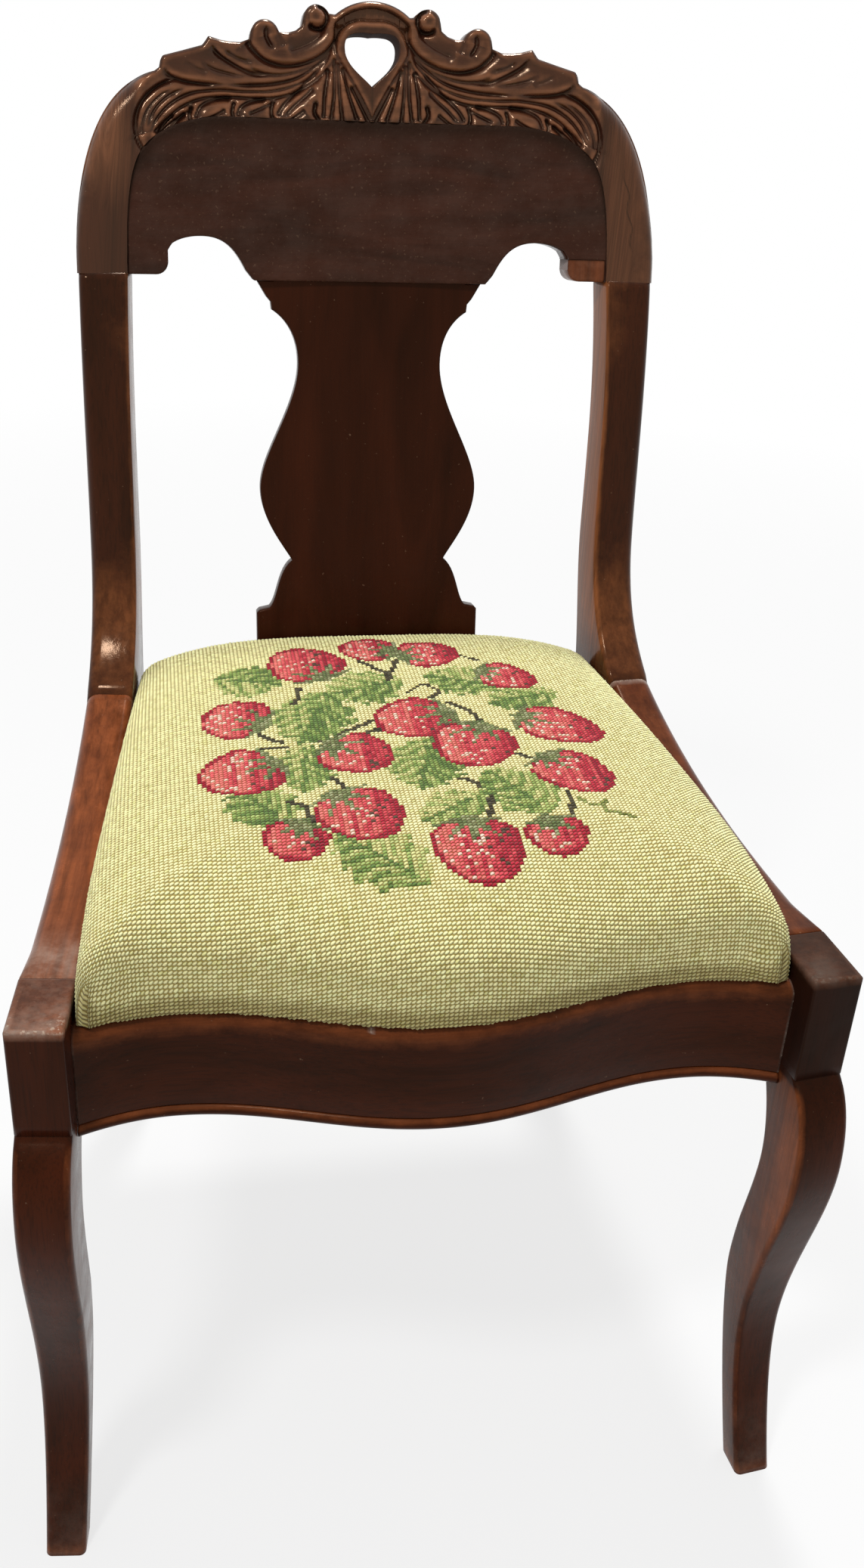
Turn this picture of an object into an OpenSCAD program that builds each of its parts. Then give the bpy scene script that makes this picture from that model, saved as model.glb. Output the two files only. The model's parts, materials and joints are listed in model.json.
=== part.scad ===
// Side chair with sabre legs, raked back, vase splat, carved crest rail and a lift-out slip seat.
// Millimetres. X runs across the chair, Y to the back and Z up. The origin is on the floor, under
// the middle of the whole chair. Lengths along Y are given from the front of the leg blocks.

/* [Side frames] */
// Width across the outside of the two front leg blocks
front_w = 471; // [450:1:490]
// Angle by which each side frame runs in towards the back, degrees
splay = 6.4; // [5.6:0.1:7]
// Thickness of the boards of the side frames
board_t = 31; // [29:0.5:33]
// Height of the top of the leg blocks
block_top = 412; // [409:1:420]
// Height of the leg block itself
block_h = 71; // [66:1:76]
// Depth of the leg block, along the side frame
block_d = 48; // [46:1:54]
// Distance from the block's front to the joint of side rail and rear post, at the top edge
scarf_y = 319; // [312:1:325]
// Rise of the side rail's top edge from the block to that joint
scarf_rise = 35; // [28:1:42]

/* [Front legs] */
// Height of the fullest point of the knee
knee_h = 285; // [275:1:295]
// Distance that the knee stands in front of the block
knee_reach = 20; // [12:1:26]
// Height of the ankle, the leg's furthest point back
ankle_h = 117; // [105:1:130]
// Distance of the ankle's front behind the block's front
ankle_set = 10; // [5:1:14]
// Distance that the toe stands in front of the block
toe_reach = 14; // [8:1:18]
// Depth of the front foot on the floor
foot_d = 23; // [21:1:26]
// Width of every foot on the floor
foot_t = 25; // [22:0.5:26]
// Angle by which the front legs run outward below their blocks, degrees
leg_cant = 1; // [0.5:0.1:1.4]

/* [Rear posts] */
// Height of the joint of post and crest rail, at the front edge
post_top = 709; // [690:1:725]
// Depth of the post at its top
post_d = 28; // [26:0.5:32]
// Height at which the post's sweep ends and the straight back begins
bend_h = 525; // [515:1:535]
// Distance from the block's front to the rear edge of the post at the seat
post_back = 386; // [384:1:394]
// Distance that the rear foot stands behind the post
heel_sweep = 66; // [55:1:75]
// Depth of the rear foot on the floor
rear_foot_d = 26; // [23:1:30]

/* [Back] */
// Rake of the back from upright, degrees
rake = 9.9; // [8.5:0.1:11.5]
// Distance from the block's front to the back's face, at the height of the seat rails
back_set = 336; // [334:1:340]
// Height of the crest rail above its joint with the posts
crest_rise = 166; // [158:1:176]
// Thickness of the crest rail
crest_t = 26; // [23:0.5:29]
// Hollow of the crest rail's front face in plan
hollow = 16; // [12:0.5:20]
// Depth of the sunk field of the crest rail, behind its shoulders
panel_sink = 3; // [2:0.5:4]
// Thickness of the veneer in that field
veneer_t = 1.2; // [0.8:0.1:1.6]
// Thickness of the splat
splat_t = 12; // [10:0.5:14]
// Half width of the splat at its foot
splat_foot = 80; // [76:1:84]
// Half width of the splat at its belly
splat_belly = 76; // [70:1:82]
// Half width of the splat at its neck
splat_neck = 49; // [42:1:54]
// Half width of the splat under the crest rail
splat_head = 76; // [72:1:78]

/* [Seat rails] */
// Height of the top of the front and rear rails and of the ledges, on which the slip seat rests
rail_top = 397; // [390:1:402]
// Height of the front rail, without its bead
rail_h = 64; // [58:1:68]
// Place of the front rail's face at its middle
rail_mid = -2; // [-8:1:4]
// Place of the front rail's face in its two hollows
rail_dip = 25; // [20:1:28]
// Distance of each hollow from the middle
dip_x = 150; // [140:1:160]
// How far the face comes forward again at the ends
rail_drop = 11; // [7:1:14]
// Height of the bead under the front rail
bead_h = 8; // [6:0.5:10]
// Distance that the bead stands proud of the front rail
bead_proud = 2; // [1:0.5:3]
// Height of the rear rail
rear_rail_h = 62; // [50:1:66]
// Thickness of the rear rail
rear_rail_t = 40; // [38:1:42]
// Depth of the splat's groove in the rear rail, and of its tenon in the crest rail
splat_socket = 13; // [9:1:16]
// Width of the ledges
ledge_w = 14; // [10:1:16]
// Height of the ledges
ledge_h = 20; // [14:1:22]
// Length of a corner block along each rail
corner_l = 55; // [50:1:62]
// Height of a corner block
corner_h = 34; // [26:1:36]

/* [Slip seat] */
// Clearance between the slip seat and the side rails
seat_gap = 2; // [1.5:0.25:3]
// Height of the seat's edge above the rails, at the front
edge_front = 15; // [12:0.5:20]
// Height of the seat's edge above the rails, at the sides
edge_side = 46; // [42:1:50]
// Height that the rear edge rises above the side edges, in the middle
edge_rear = 27; // [20:1:30]
// Height of the crown above the rails
crown = 74; // [71:1:84]
// Thickness of the cover
cover_t = 2.5; // [2:0.1:3]
// Width of the cover's turned-under margin, as a share of the seat's half width
margin = 0.12; // [0.09:0.01:0.15]
// Thickness of the seat frame
frame_t = 15; // [13:0.5:16]
// Width of the seat frame's side members
frame_w = 50; // [42:1:56]
// Width of the seat frame's back member
frame_back_w = 45; // [40:1:52]
// Width of the webbing
strap_w = 50; // [44:1:54]
// Thickness of the webbing
strap_t = 1; // [0.8:0.1:1.2]

/* [Joinery] */
// Diameter of the dowels in the chair frame
dowel_d = 10; // [8:0.5:11]
// Length of the dowels in the chair frame
dowel_l = 44; // [36:1:46]
// Diameter of the dowels in the slip seat frame
seat_dowel_d = 8; // [6:0.5:9]
// Thickness of the glue round every dowel and tenon
glue = 0.1; // [0.05:0.01:0.15]
// Diameter of the corner block screws
screw_d = 4; // [3:0.5:5]

/* [Hidden] */
$fn = 48;
eps = 0.01;
mahogany = [0.22, 0.10, 0.07];
worn_mahogany = [0.45, 0.24, 0.16];
panel_mahogany = [0.25, 0.16, 0.14];
beech = [0.70, 0.54, 0.36];
needlepoint = [0.80, 0.78, 0.48];
jute = [0.62, 0.50, 0.32];
horsehair = [0.30, 0.24, 0.18];
steel = [0.45, 0.45, 0.46];

// Curves
function bez(p, n = 10) = [for (i = [0:n]) let (t = i / n)
    pow(1 - t, 3) * p[0] + 3 * pow(1 - t, 2) * t * p[1] + 3 * (1 - t) * t * t * p[2] + t * t * t * p[3]];
function arc(c, r, from, to, n = 6) = [for (i = [0:n]) let (a = from + (to - from) * i / n)
    [c[0] + r * cos(a), c[1] + r * sin(a)]];
function flip(pts) = [for (i = [len(pts) - 1:-1:0]) pts[i]];
function mirrored(pts) = [for (p = pts) [-p[0], p[1]]];
function both_sides(half) = concat(half, flip(mirrored(half)));

// Datum lines of the whole chair
block_bottom = block_top - block_h;
scarf_z = block_top + scarf_rise;
scarf_foot = [scarf_y + 17, block_bottom + 3];
function inner_x(y) = front_w / 2 - y * tan(splay) - board_t / cos(splay);
function back_y(z) = back_set + (z - rail_top) * tan(rake);
heel_y = post_back + heel_sweep;
joint_t = (post_top - rail_top) / cos(rake);
crest_half = front_w / 2 - back_y(post_top) * tan(splay);
crest_r = (crest_half * crest_half + hollow * hollow) / (2 * hollow);
seat_z = rail_top + 0.3;
toe_x = foot_t - block_bottom * sin(leg_cant);
knee_x = board_t - (block_bottom - knee_h) * sin(leg_cant);
front_reach = max(knee_reach * cos(splay) + knee_x * sin(splay),
                  toe_reach * cos(splay) + toe_x * sin(splay));
crest_top_z = rail_top + (joint_t + crest_rise) * cos(rake);
crest_back_y = back_set + (joint_t + crest_rise) * sin(rake) + (hollow + crest_t) * cos(rake);
origin_y = (max(crest_back_y, heel_y * cos(splay)) - front_reach) / 2;

module to_origin() translate([0, -origin_y, 0]) children();

// Local frame of a side frame: X inward from the outer face, Y along the board, Z up
module in_side(side)
    mirror([side > 0 ? 1 : 0, 0, 0])
        translate([-front_w / 2, 0, 0])
            rotate([0, 0, -splay])
                children();

module board(pts)
    rotate([90, 0, 90])
        linear_extrude(board_t)
            polygon(pts);

module side_board(side, pts)
    in_side(side)
        board(pts);

// Local frame of the back: X across, Y behind its face, Z up the rake from the seat rails
module in_back()
    translate([0, back_set, rail_top])
        rotate([-rake, 0, 0])
            children();

module slab(from, to)
    translate([0, to, 0])
        rotate([90, 0, 0])
            linear_extrude(to - from)
                children();

// A dowel or its hole along Y, centred, with its axis at the origin
module peg(d, l, spare = 0)
    rotate([90, 0, 0])
        cylinder(d = d + 2 * spare, h = l + 2 * spare, center = true);

// Front legs: a block, a knee, an ankle set back and a toe that comes forward
tongue = 5;
leg_front_edge = concat(
    [[2, block_bottom + tongue]],
    bez([[2, block_bottom], [2 - 0.8 * knee_reach, block_bottom - 7],
         [-knee_reach, knee_h + 25], [-knee_reach, knee_h]]),
    bez([[-knee_reach, knee_h], [-knee_reach, knee_h - 45],
         [ankle_set, ankle_h + 58], [ankle_set, ankle_h]]),
    bez([[ankle_set, ankle_h], [ankle_set, ankle_h - 42], [10 - toe_reach, 30], [-toe_reach, 0]]),
    [[-toe_reach - 1, -3]]
);
calf_y = ankle_set + 29;
leg_back_edge = concat(
    [[foot_d - toe_reach - 1, -3]],
    bez([[foot_d - toe_reach, 0], [foot_d - toe_reach + 13, 45],
         [calf_y, ankle_h - 7], [calf_y, ankle_h + 38]]),
    bez([[calf_y, ankle_h + 38], [calf_y - 1, ankle_h + 73],
         [42 - knee_reach, knee_h - 45], [42 - knee_reach, knee_h - 15]]),
    bez([[42 - knee_reach, knee_h - 15], [42 - knee_reach, knee_h + 15],
         [block_d - 14, block_bottom - 11], [block_d, block_bottom]]),
    [[block_d, block_bottom + tongue]]
);
leg_block = [[0, block_top], [0, block_bottom], [block_d, block_bottom], [block_d, block_top - 1]];
taper_h = 200;

module foot_taper(y)
    translate([0, y + 60, 0])
        rotate([90, 0, 0])
            linear_extrude(120)
                polygon([[foot_t, -4], [foot_t, 0], [board_t, taper_h],
                         [board_t + 1, taper_h], [board_t + 1, -4]]);

// The front leg turns outward about the inner edge of its tongue in the block
module canted()
    translate([board_t, 0, block_bottom + tongue])
        rotate([0, leg_cant, 0])
            translate([-board_t, 0, -block_bottom - tongue])
                children();

module front_leg(side)
    color(mahogany)
        to_origin()
            difference() {
                in_side(side) {
                    board(leg_block);
                    canted()
                        difference() {
                            board(concat(leg_front_edge, leg_back_edge));
                            foot_taper(0);
                        }
                }
                translate([-front_w, -front_w, -20])
                    cube([2 * front_w, 2 * front_w, 20]);
                leg_dowel_set(side, glue);
                front_rail_dowel_set(side, glue);
            }

// Side rails: the top edge dips behind the block and climbs to the rear post
rail_top_edge = bez([[block_d, block_top - 1], [block_d + 92, block_top - 4],
                     [scarf_y - 84, block_top + 3], [scarf_y, scarf_z]], 16);
rail_bottom_edge = bez([scarf_foot, [scarf_y - 79, block_bottom + 11],
                        [block_d + 102, block_bottom + 11], [block_d, block_bottom]]);

module side_rail(side)
    color(worn_mahogany)
        to_origin()
            difference() {
                side_board(side, concat(rail_top_edge, rail_bottom_edge));
                leg_dowel_set(side, glue);
                post_dowel_set(side, glue);
                corner_screw_set(side, glue);
            }

// Rear posts: stile and rear leg in one, swept back above and below the seat
top_back = [back_y(post_top) + post_d * cos(rake), post_top - post_d * sin(rake)];
post_outline = concat(
    bez([[scarf_y, scarf_z], [scarf_y + 26, scarf_z + 18],
         [back_y(bend_h) + 5, scarf_z + 38], [back_y(bend_h) + 12, bend_h]]),
    bez([[back_y(bend_h) + 12, bend_h], [back_y(bend_h) + 17, bend_h + 30],
         [back_y(post_top) - 11, post_top - 69], [back_y(post_top), post_top]]),
    bez([top_back, top_back + [-8, -54], [post_back + 22, bend_h + 65], [post_back + 20, bend_h + 10]]),
    bez([[post_back + 20, bend_h + 10], [post_back + 18, bend_h - 35],
         [post_back, rail_top + 53], [post_back, rail_top + 3]]),
    bez([[post_back, rail_top + 3], [post_back - 1, rail_top - 97], [heel_y - 47, 120], [heel_y, 0]]),
    bez([[heel_y - rear_foot_d, 0], [heel_y - rear_foot_d - 30, 110],
         [scarf_foot[0] + 12, block_bottom - 101], scarf_foot])
);

module rear_post(side)
    color(mahogany)
        to_origin()
            difference() {
                side_board(side, post_outline);
                in_side(side)
                    foot_taper(heel_y);
                post_dowel_set(side, glue);
                rear_rail_dowel_set(side, glue);
                crest_dowel_set(side, glue);
            }

// Front rail: a bow in the middle, a hollow on each side, then forward again to the blocks
rail_end = rail_dip - rail_drop;
rail_half = inner_x(rail_end);
function rail_face(x) = abs(x) < dip_x
    ? rail_dip - (rail_dip - rail_mid) * (1 + cos(180 * x / dip_x)) / 2
    : rail_dip - rail_drop * pow((abs(x) - dip_x) / (rail_half - dip_x), 2);
function rail_line(shift, n = 40) = [for (i = [-n:n]) let (x = i / n * rail_half)
    [x - sign(x) * (abs(i) == n ? shift * tan(splay) : 0), rail_face(x) + shift]];
rail_bottom = rail_top - rail_h;

module front_rail()
    color(mahogany)
        to_origin()
            difference() {
                translate([0, 0, rail_bottom])
                    linear_extrude(rail_h)
                        polygon(concat(rail_line(0), [[inner_x(block_d), block_d],
                                                      [-inner_x(block_d), block_d]]));
                for (side = [-1, 1]) {
                    front_rail_dowel_set(side, glue);
                    corner_screw_set(side, glue);
                }
            }

bead_d = 10;
module front_rail_bead()
    color(worn_mahogany)
        to_origin()
            translate([0, 0, rail_bottom - bead_h])
                linear_extrude(bead_h)
                    polygon(concat(rail_line(-bead_proud), flip(rail_line(bead_d))));

// Rear rail: carries the seat on its front margin and the splat in a groove
rear_rail_y = back_set + 6;
splat_y = 20.7;

module splat_body(spare)
    in_back()
        slab(splat_y - spare, splat_y + splat_t + spare)
            polygon(both_sides(concat(
                [[splat_foot + spare, -splat_socket - spare], [splat_foot + spare, splat_step]],
                splat_edge,
                [[splat_head - 10, splat_top], [splat_head - 10, splat_top + splat_socket]])));

module rear_rail()
    color(mahogany)
        to_origin()
            difference() {
                translate([0, 0, rail_top - rear_rail_h])
                    linear_extrude(rear_rail_h)
                        polygon(both_sides([[inner_x(rear_rail_y), rear_rail_y],
                                            [inner_x(rear_rail_y + rear_rail_t),
                                             rear_rail_y + rear_rail_t]]));
                splat_body(glue);
                for (side = [-1, 1]) {
                    rear_rail_dowel_set(side, glue);
                    corner_screw_set(side, glue);
                }
            }

// Splat: foot and step, cusp, belly, neck, then a flare with a small fillet under the crest rail
splat_step = 88;
splat_cusp = [54.5, 125.5];
belly_t = 176;
splat_top = joint_t - 3;
neck_t = splat_top - 53;
fillet = [splat_head - 9.5, splat_top - 18.5];
splat_edge = concat(
    [[splat_foot - 2, splat_step + 2]],
    bez([[splat_foot - 9, splat_step + 3.5], [splat_foot - 15, splat_step + 9],
         splat_cusp + [10.5, -7.5], splat_cusp]),
    bez([splat_cusp, splat_cusp + [7.5, 12.5], [splat_belly, belly_t - 21], [splat_belly, belly_t]]),
    bez([[splat_belly, belly_t], [splat_belly, belly_t + 24],
         [splat_neck, neck_t - 29], [splat_neck, neck_t]]),
    bez([[splat_neck, neck_t], [splat_neck, neck_t + 19], fillet - [8.5, 5], fillet]),
    [fillet + [0.5, 5], fillet + [3.5, 8.5], [splat_head, splat_top]]
);

module splat()
    color(mahogany)
        to_origin()
            splat_body(0);

// Crest rail: hood over the heart, two scrolls, two leaf tips, shoulder, ear and arch
leaf_foot = [138, crest_rise - 45.5];
crest_top_edge = concat(
    arc([0, crest_rise - 38], 38, 90, 51),
    arc([35.5, crest_rise - 11.5], 8.5, 155, -20, 8),
    [[49, crest_rise - 18.5], [54, crest_rise - 20]],
    arc([68.5, crest_rise - 22], 9, 165, -10, 8),
    [[84, crest_rise - 27], [91, crest_rise - 27], [97, crest_rise - 26], [104, crest_rise - 24.5],
     [108, crest_rise - 29.5], [120, crest_rise - 33], [132.5, crest_rise - 37]],
    bez([leaf_foot, [crest_half - 17, crest_rise - 54], [crest_half, 62], [crest_half, 0]], 14)
);
ear_x = crest_half - 58;
ear_r = 8;
arch_foot = splat_head + 7;
arch_w = ear_x - arch_foot;
arch_top = [arch_foot + 0.57 * arch_w, 24];
crest_bottom_edge = concat(
    arc([ear_x + ear_r, ear_r], ear_r, 270, 180, 4),
    [[ear_x, 15]],
    bez([[ear_x - 0.05 * arch_w, 19], [ear_x - 0.15 * arch_w, 22.5],
         arch_top + [0.14 * arch_w, 0], arch_top]),
    bez([arch_top, arch_top - [0.3 * arch_w, 0], [arch_foot + 0.14 * arch_w, 17], [arch_foot, 3]]),
    [[arch_foot - 5, -3], [0, -3]]
);
heart_edge = concat(
    bez([[0, crest_rise - 49.5], [6, crest_rise - 43], [15, crest_rise - 38], [15, crest_rise - 30]]),
    bez([[15, crest_rise - 30], [15, crest_rise - 18], [8, crest_rise - 13], [0, crest_rise - 22.5]])
);
panel_edge = concat(
    [[0, crest_rise - 70], [crest_half - 100, crest_rise - 70]],
    bez([[crest_half - 100, crest_rise - 70], [crest_half - 72, crest_rise - 70],
         [crest_half - 50, crest_rise - 80], [crest_half - 42, crest_rise - 94]]),
    bez([[crest_half - 42, crest_rise - 94], [crest_half - 34, crest_rise - 108],
         [crest_half - 32, 30], [crest_half - 32, -1]])
);
splice_h = 14;
splice_w = 25;

module crest_face()
    difference() {
        polygon(both_sides(concat(crest_top_edge, crest_bottom_edge)));
        polygon(both_sides(heart_edge));
    }

// Part of the crest rail between two depths behind its hollow front face
module crest_layer(from, to)
    intersection() {
        slab(-5, hollow + crest_t + 5)
            children();
        translate([0, hollow - crest_r, -20])
            difference() {
                cylinder(r = crest_r + to, h = crest_rise + 40, $fn = 720);
                translate([0, 0, -1])
                    cylinder(r = crest_r + from, h = crest_rise + 42, $fn = 720);
            }
    }

module in_crest()
    in_back()
        translate([0, 0, joint_t])
            children();

module splice_region()
    translate([ear_x - 4, -1])
        square([splice_w + 4, splice_h + 1]);

module crest_field()
    intersection() {
        crest_face();
        polygon(both_sides(concat(panel_edge, [[crest_half - 32, -10], [0, -10]])));
    }

module crest_rail()
    color(mahogany)
        to_origin()
            difference() {
                in_crest()
                    difference() {
                        crest_layer(0, crest_t)
                            difference() {
                                crest_face();
                                splice_region();
                            }
                        crest_layer(-10, panel_sink)
                            crest_field();
                    }
                splat_body(glue);
                for (side = [-1, 1])
                    crest_dowel_set(side, glue);
            }

module crest_panel()
    color(panel_mahogany)
        to_origin()
            in_crest()
                crest_layer(panel_sink - veneer_t, panel_sink - glue / 2)
                    difference() {
                        crest_field();
                        splice_region();
                    }

module right_ear_splice()
    color(worn_mahogany)
        to_origin()
            in_crest()
                crest_layer(panel_sink - veneer_t, crest_t)
                    intersection() {
                        crest_face();
                        splice_region();
                    }

// Ledges that carry the slip seat along the side rails
module seat_ledge(side)
    color(beech)
        to_origin()
            translate([0, 0, rail_top - ledge_h])
                linear_extrude(ledge_h)
                    polygon([for (c = [[block_d, 0], [rear_rail_y, 0],
                                       [rear_rail_y, ledge_w], [block_d, ledge_w]])
                        [side * (inner_x(c[0]) - c[1]), c[0]]]);

// Corner blocks: triangles glued and screwed under the ledges. Ends: 1 front, -1 rear
corner_z = rail_top - ledge_h - corner_h - 3;
corner_y = [rear_rail_y, block_d];
screw_at = corner_l - 17;
screw_seat = 12;
screw_bite = 14;

module at_corner(side, end)
    translate([side * inner_x(corner_y[end > 0 ? 1 : 0]), corner_y[end > 0 ? 1 : 0], corner_z])
        mirror([side > 0 ? 1 : 0, 0, 0])
            mirror([0, end > 0 ? 0 : 1, 0])
                children();

// Axes of the two screws of a block, each square to the rail that it enters
module at_corner_screws(side, end)
    at_corner(side, end)
        translate([0, 0, corner_h / 2]) {
            translate([screw_at, 0, 0])
                rotate([-90, 0, 0])
                    children();
            rotate([0, 0, -end * splay])
                translate([0, screw_at, 0])
                    rotate([0, 90, 0])
                        children();
        }

module corner_screw_set(side, spare)
    for (end = [-1, 1])
        at_corner_screws(side, end)
            translate([0, 0, -screw_bite - spare])
                cylinder(d = screw_d + 2 * spare, h = screw_bite + screw_seat + 2 * spare);

module corner_block(side, end)
    color(beech)
        to_origin()
            difference() {
                at_corner(side, end)
                    linear_extrude(corner_h)
                        polygon([[0, 0], [corner_l, 0],
                                 [end * corner_l * sin(splay), corner_l * cos(splay)]]);
                corner_screw_set(side, glue);
                at_corner_screws(side, end)
                    translate([0, 0, screw_seat])
                        cylinder(r = screw_d + 0.5, h = corner_l);
            }

module corner_block_screws()
    color(steel)
        to_origin()
            for (side = [-1, 1], end = [-1, 1])
                at_corner_screws(side, end) {
                    translate([0, 0, -screw_bite])
                        cylinder(d = screw_d, h = screw_bite + screw_seat);
                    translate([0, 0, screw_seat])
                        cylinder(r = screw_d, h = 2.5);
                }

// Dowel sets, each used for the dowels and, with the glue added, for their holes
module leg_dowel_set(side, spare)
    in_side(side)
        for (z = [rail_bottom + 32, rail_bottom + 62])
            translate([board_t / 2, block_d, z])
                peg(dowel_d, dowel_l, spare);

module post_dowel_set(side, spare)
    in_side(side)
        for (z = [scarf_foot[1] + 26, scarf_z - 28])
            translate([board_t / 2, scarf_y + 9, z])
                peg(dowel_d, dowel_l, spare);

module front_rail_dowel_set(side, spare)
    for (z = [rail_bottom + 16, rail_top - 16])
        translate([side * inner_x(rail_end), (rail_end + block_d) / 2, z])
            rotate([0, 0, 90])
                peg(dowel_d, dowel_l, spare);

module rear_rail_dowel_set(side, spare)
    for (z = [rail_top - rear_rail_h + 16, rail_top - 16])
        translate([side * inner_x(rear_rail_y + rear_rail_t / 2), rear_rail_y + rear_rail_t / 2, z])
            rotate([0, 0, 90])
                peg(dowel_d, dowel_l, spare);

module crest_dowel_set(side, spare)
    in_back()
        translate([side * (crest_half - board_t / 2), hollow / 5 + post_d / 2, joint_t])
            rotate([90, 0, 0])
                peg(dowel_d, dowel_l, spare);

module leg_dowels()
    color(beech)
        to_origin()
            for (side = [-1, 1])
                leg_dowel_set(side, 0);

module post_dowels()
    color(beech)
        to_origin()
            for (side = [-1, 1])
                post_dowel_set(side, 0);

module front_rail_dowels()
    color(beech)
        to_origin()
            for (side = [-1, 1])
                front_rail_dowel_set(side, 0);

module rear_rail_dowels()
    color(beech)
        to_origin()
            for (side = [-1, 1])
                rear_rail_dowel_set(side, 0);

module crest_dowels()
    color(beech)
        to_origin()
            for (side = [-1, 1])
                crest_dowel_set(side, 0);

// Slip seat. Its heights are counted from the underside of the cover, which rests on the rails
module in_seat()
    to_origin()
        translate([0, 0, seat_z])
            children();

seat_rear = back_set + splat_y - 3;
corner_r = 7;
function side_x(y) = inner_x(y) - seat_gap;

// Outline of the seat in plan, drawn in by a distance
member_skin = cover_t + glue;
function frame_side(y) = side_x(y) - member_skin / cos(splay);
frame_top = cover_t + glue + frame_t;
front_member_y = block_d + 14;
back_member_y = seat_rear - member_skin - frame_back_w;
shoulder_y = rail_end + corner_r + 5;
roll_room = 3;

module frame_plate(pts)
    translate([0, 0, cover_t + glue])
        linear_extrude(frame_t)
            polygon(pts);

module seat_frame_dowel_set(spare)
    for (side = [-1, 1], y = [front_member_y, back_member_y], k = [0.3, 0.7])
        translate([side * (frame_side(y) - k * frame_w), y, cover_t + glue + frame_t / 2])
            peg(seat_dowel_d, 34, spare);

module seat_frame_front()
    color(beech)
        in_seat()
            difference() {
                frame_plate(concat(
                    [for (i = [-30:30]) let (x = i / 30 * (front_corner_x - 1))
                        [x, rail_face(x) + member_skin + roll_room]],
                    [[frame_side(shoulder_y) - 1.5, shoulder_y],
                     [frame_side(front_member_y), front_member_y],
                     [-frame_side(front_member_y), front_member_y],
                     [1.5 - frame_side(shoulder_y), shoulder_y]]));
                seat_frame_dowel_set(glue);
            }

module seat_frame_back()
    color(beech)
        in_seat()
            difference() {
                frame_plate(both_sides([
                    [frame_side(back_member_y), back_member_y],
                    [frame_side(seat_rear - 8), seat_rear - 8],
                    [frame_side(seat_rear) - 5, seat_rear - member_skin]]));
                seat_frame_dowel_set(glue);
            }

module seat_frame_side(side)
    color(beech)
        in_seat()
            difference() {
                frame_plate([for (c = [[front_member_y, 0], [back_member_y, 0],
                                       [back_member_y, frame_w], [front_member_y, frame_w]])
                    [side * (frame_side(c[0]) - c[1]), c[0]]]);
                seat_frame_dowel_set(glue);
            }

module seat_frame_dowels()
    color(beech)
        in_seat()
            seat_frame_dowel_set(0);

// Webbing on top of the frame: three straps each way, the cross straps stepping over the long ones
strap_pitch_y = 0.35 * (back_member_y - front_member_y);
strap_lap = 30;
strap_mid_y = (front_member_y + back_member_y) / 2;
strap_pitch_x = 0.74 * (frame_side(strap_mid_y) - frame_w);
strap_front = front_member_y - strap_lap;
strap_rear = back_member_y + strap_lap;
function strap_half(y) = frame_side(y) - frame_w + strap_lap;

module long_webbing()
    color(jute)
        in_seat()
            for (i = [-1:1])
                translate([i * strap_pitch_x - strap_w / 2, strap_front, frame_top])
                    cube([strap_w, strap_rear - strap_front, strap_t]);

module cross_webbing()
    color(jute)
        in_seat()
            for (j = [-1:1]) {
                y = strap_mid_y + j * strap_pitch_y;
                half = strap_half(y + strap_w / 2);
                difference() {
                    translate([-half, y - strap_w / 2, frame_top])
                        cube([2 * half, strap_w, 2 * strap_t]);
                    for (i = [-1:1])
                        translate([i * strap_pitch_x - strap_w / 2 - glue, y - strap_w, frame_top - 1])
                            cube([strap_w + 2 * glue, 2 * strap_w, strap_t + 1 + glue / 2]);
                    for (x = [-half - strap_w, -strap_pitch_x + strap_w / 2 + 2, strap_w / 2 + 2,
                              strap_pitch_x + strap_w / 2 + 2])
                        translate([x, y - strap_w, frame_top + strap_t])
                            cube([x < -half ? half + strap_w - strap_pitch_x - strap_w / 2 - 2
                                  : x > strap_pitch_x ? half
                                  : strap_pitch_x - strap_w - 4, 2 * strap_w, 2 * strap_t]);
                }
            }

tack_head_r = 3;
tack_head_h = 0.7;
tack_shank_d = 1.6;
tack_shank_l = 9;

// A tack driven down: the underside of its head is at the origin
module tack() {
    cylinder(r = tack_head_r, h = tack_head_h);
    translate([0, 0, -tack_shank_l])
        cylinder(d = tack_shank_d, h = tack_shank_l + eps);
}

module webbing_tacks()
    color(steel)
        in_seat() {
            for (i = [-1:1], k = [-1:1], y = [strap_front + 10, strap_rear - 10])
                translate([i * strap_pitch_x + k * strap_w / 3, y, frame_top + strap_t])
                    tack();
            for (j = [-1:1], k = [-1:1], side = [-1, 1])
                translate([side * (strap_half(strap_mid_y + j * strap_pitch_y + strap_w / 2) - 10),
                           strap_mid_y + j * strap_pitch_y + k * strap_w * 0.28, frame_top + strap_t])
                    tack();
        }

// Hessian over the webbing, stuffing over the hessian
hessian_z = frame_top + 2 * strap_t + glue;
hessian_t = 0.8;
module hessian()
    color(jute)
        in_seat()
            translate([0, 0, hessian_z])
                linear_extrude(hessian_t)
                    polygon(both_sides([
                        [frame_side(strap_front) - 14, strap_front],
                        [frame_side(strap_rear) - 14, strap_rear]]));

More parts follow.
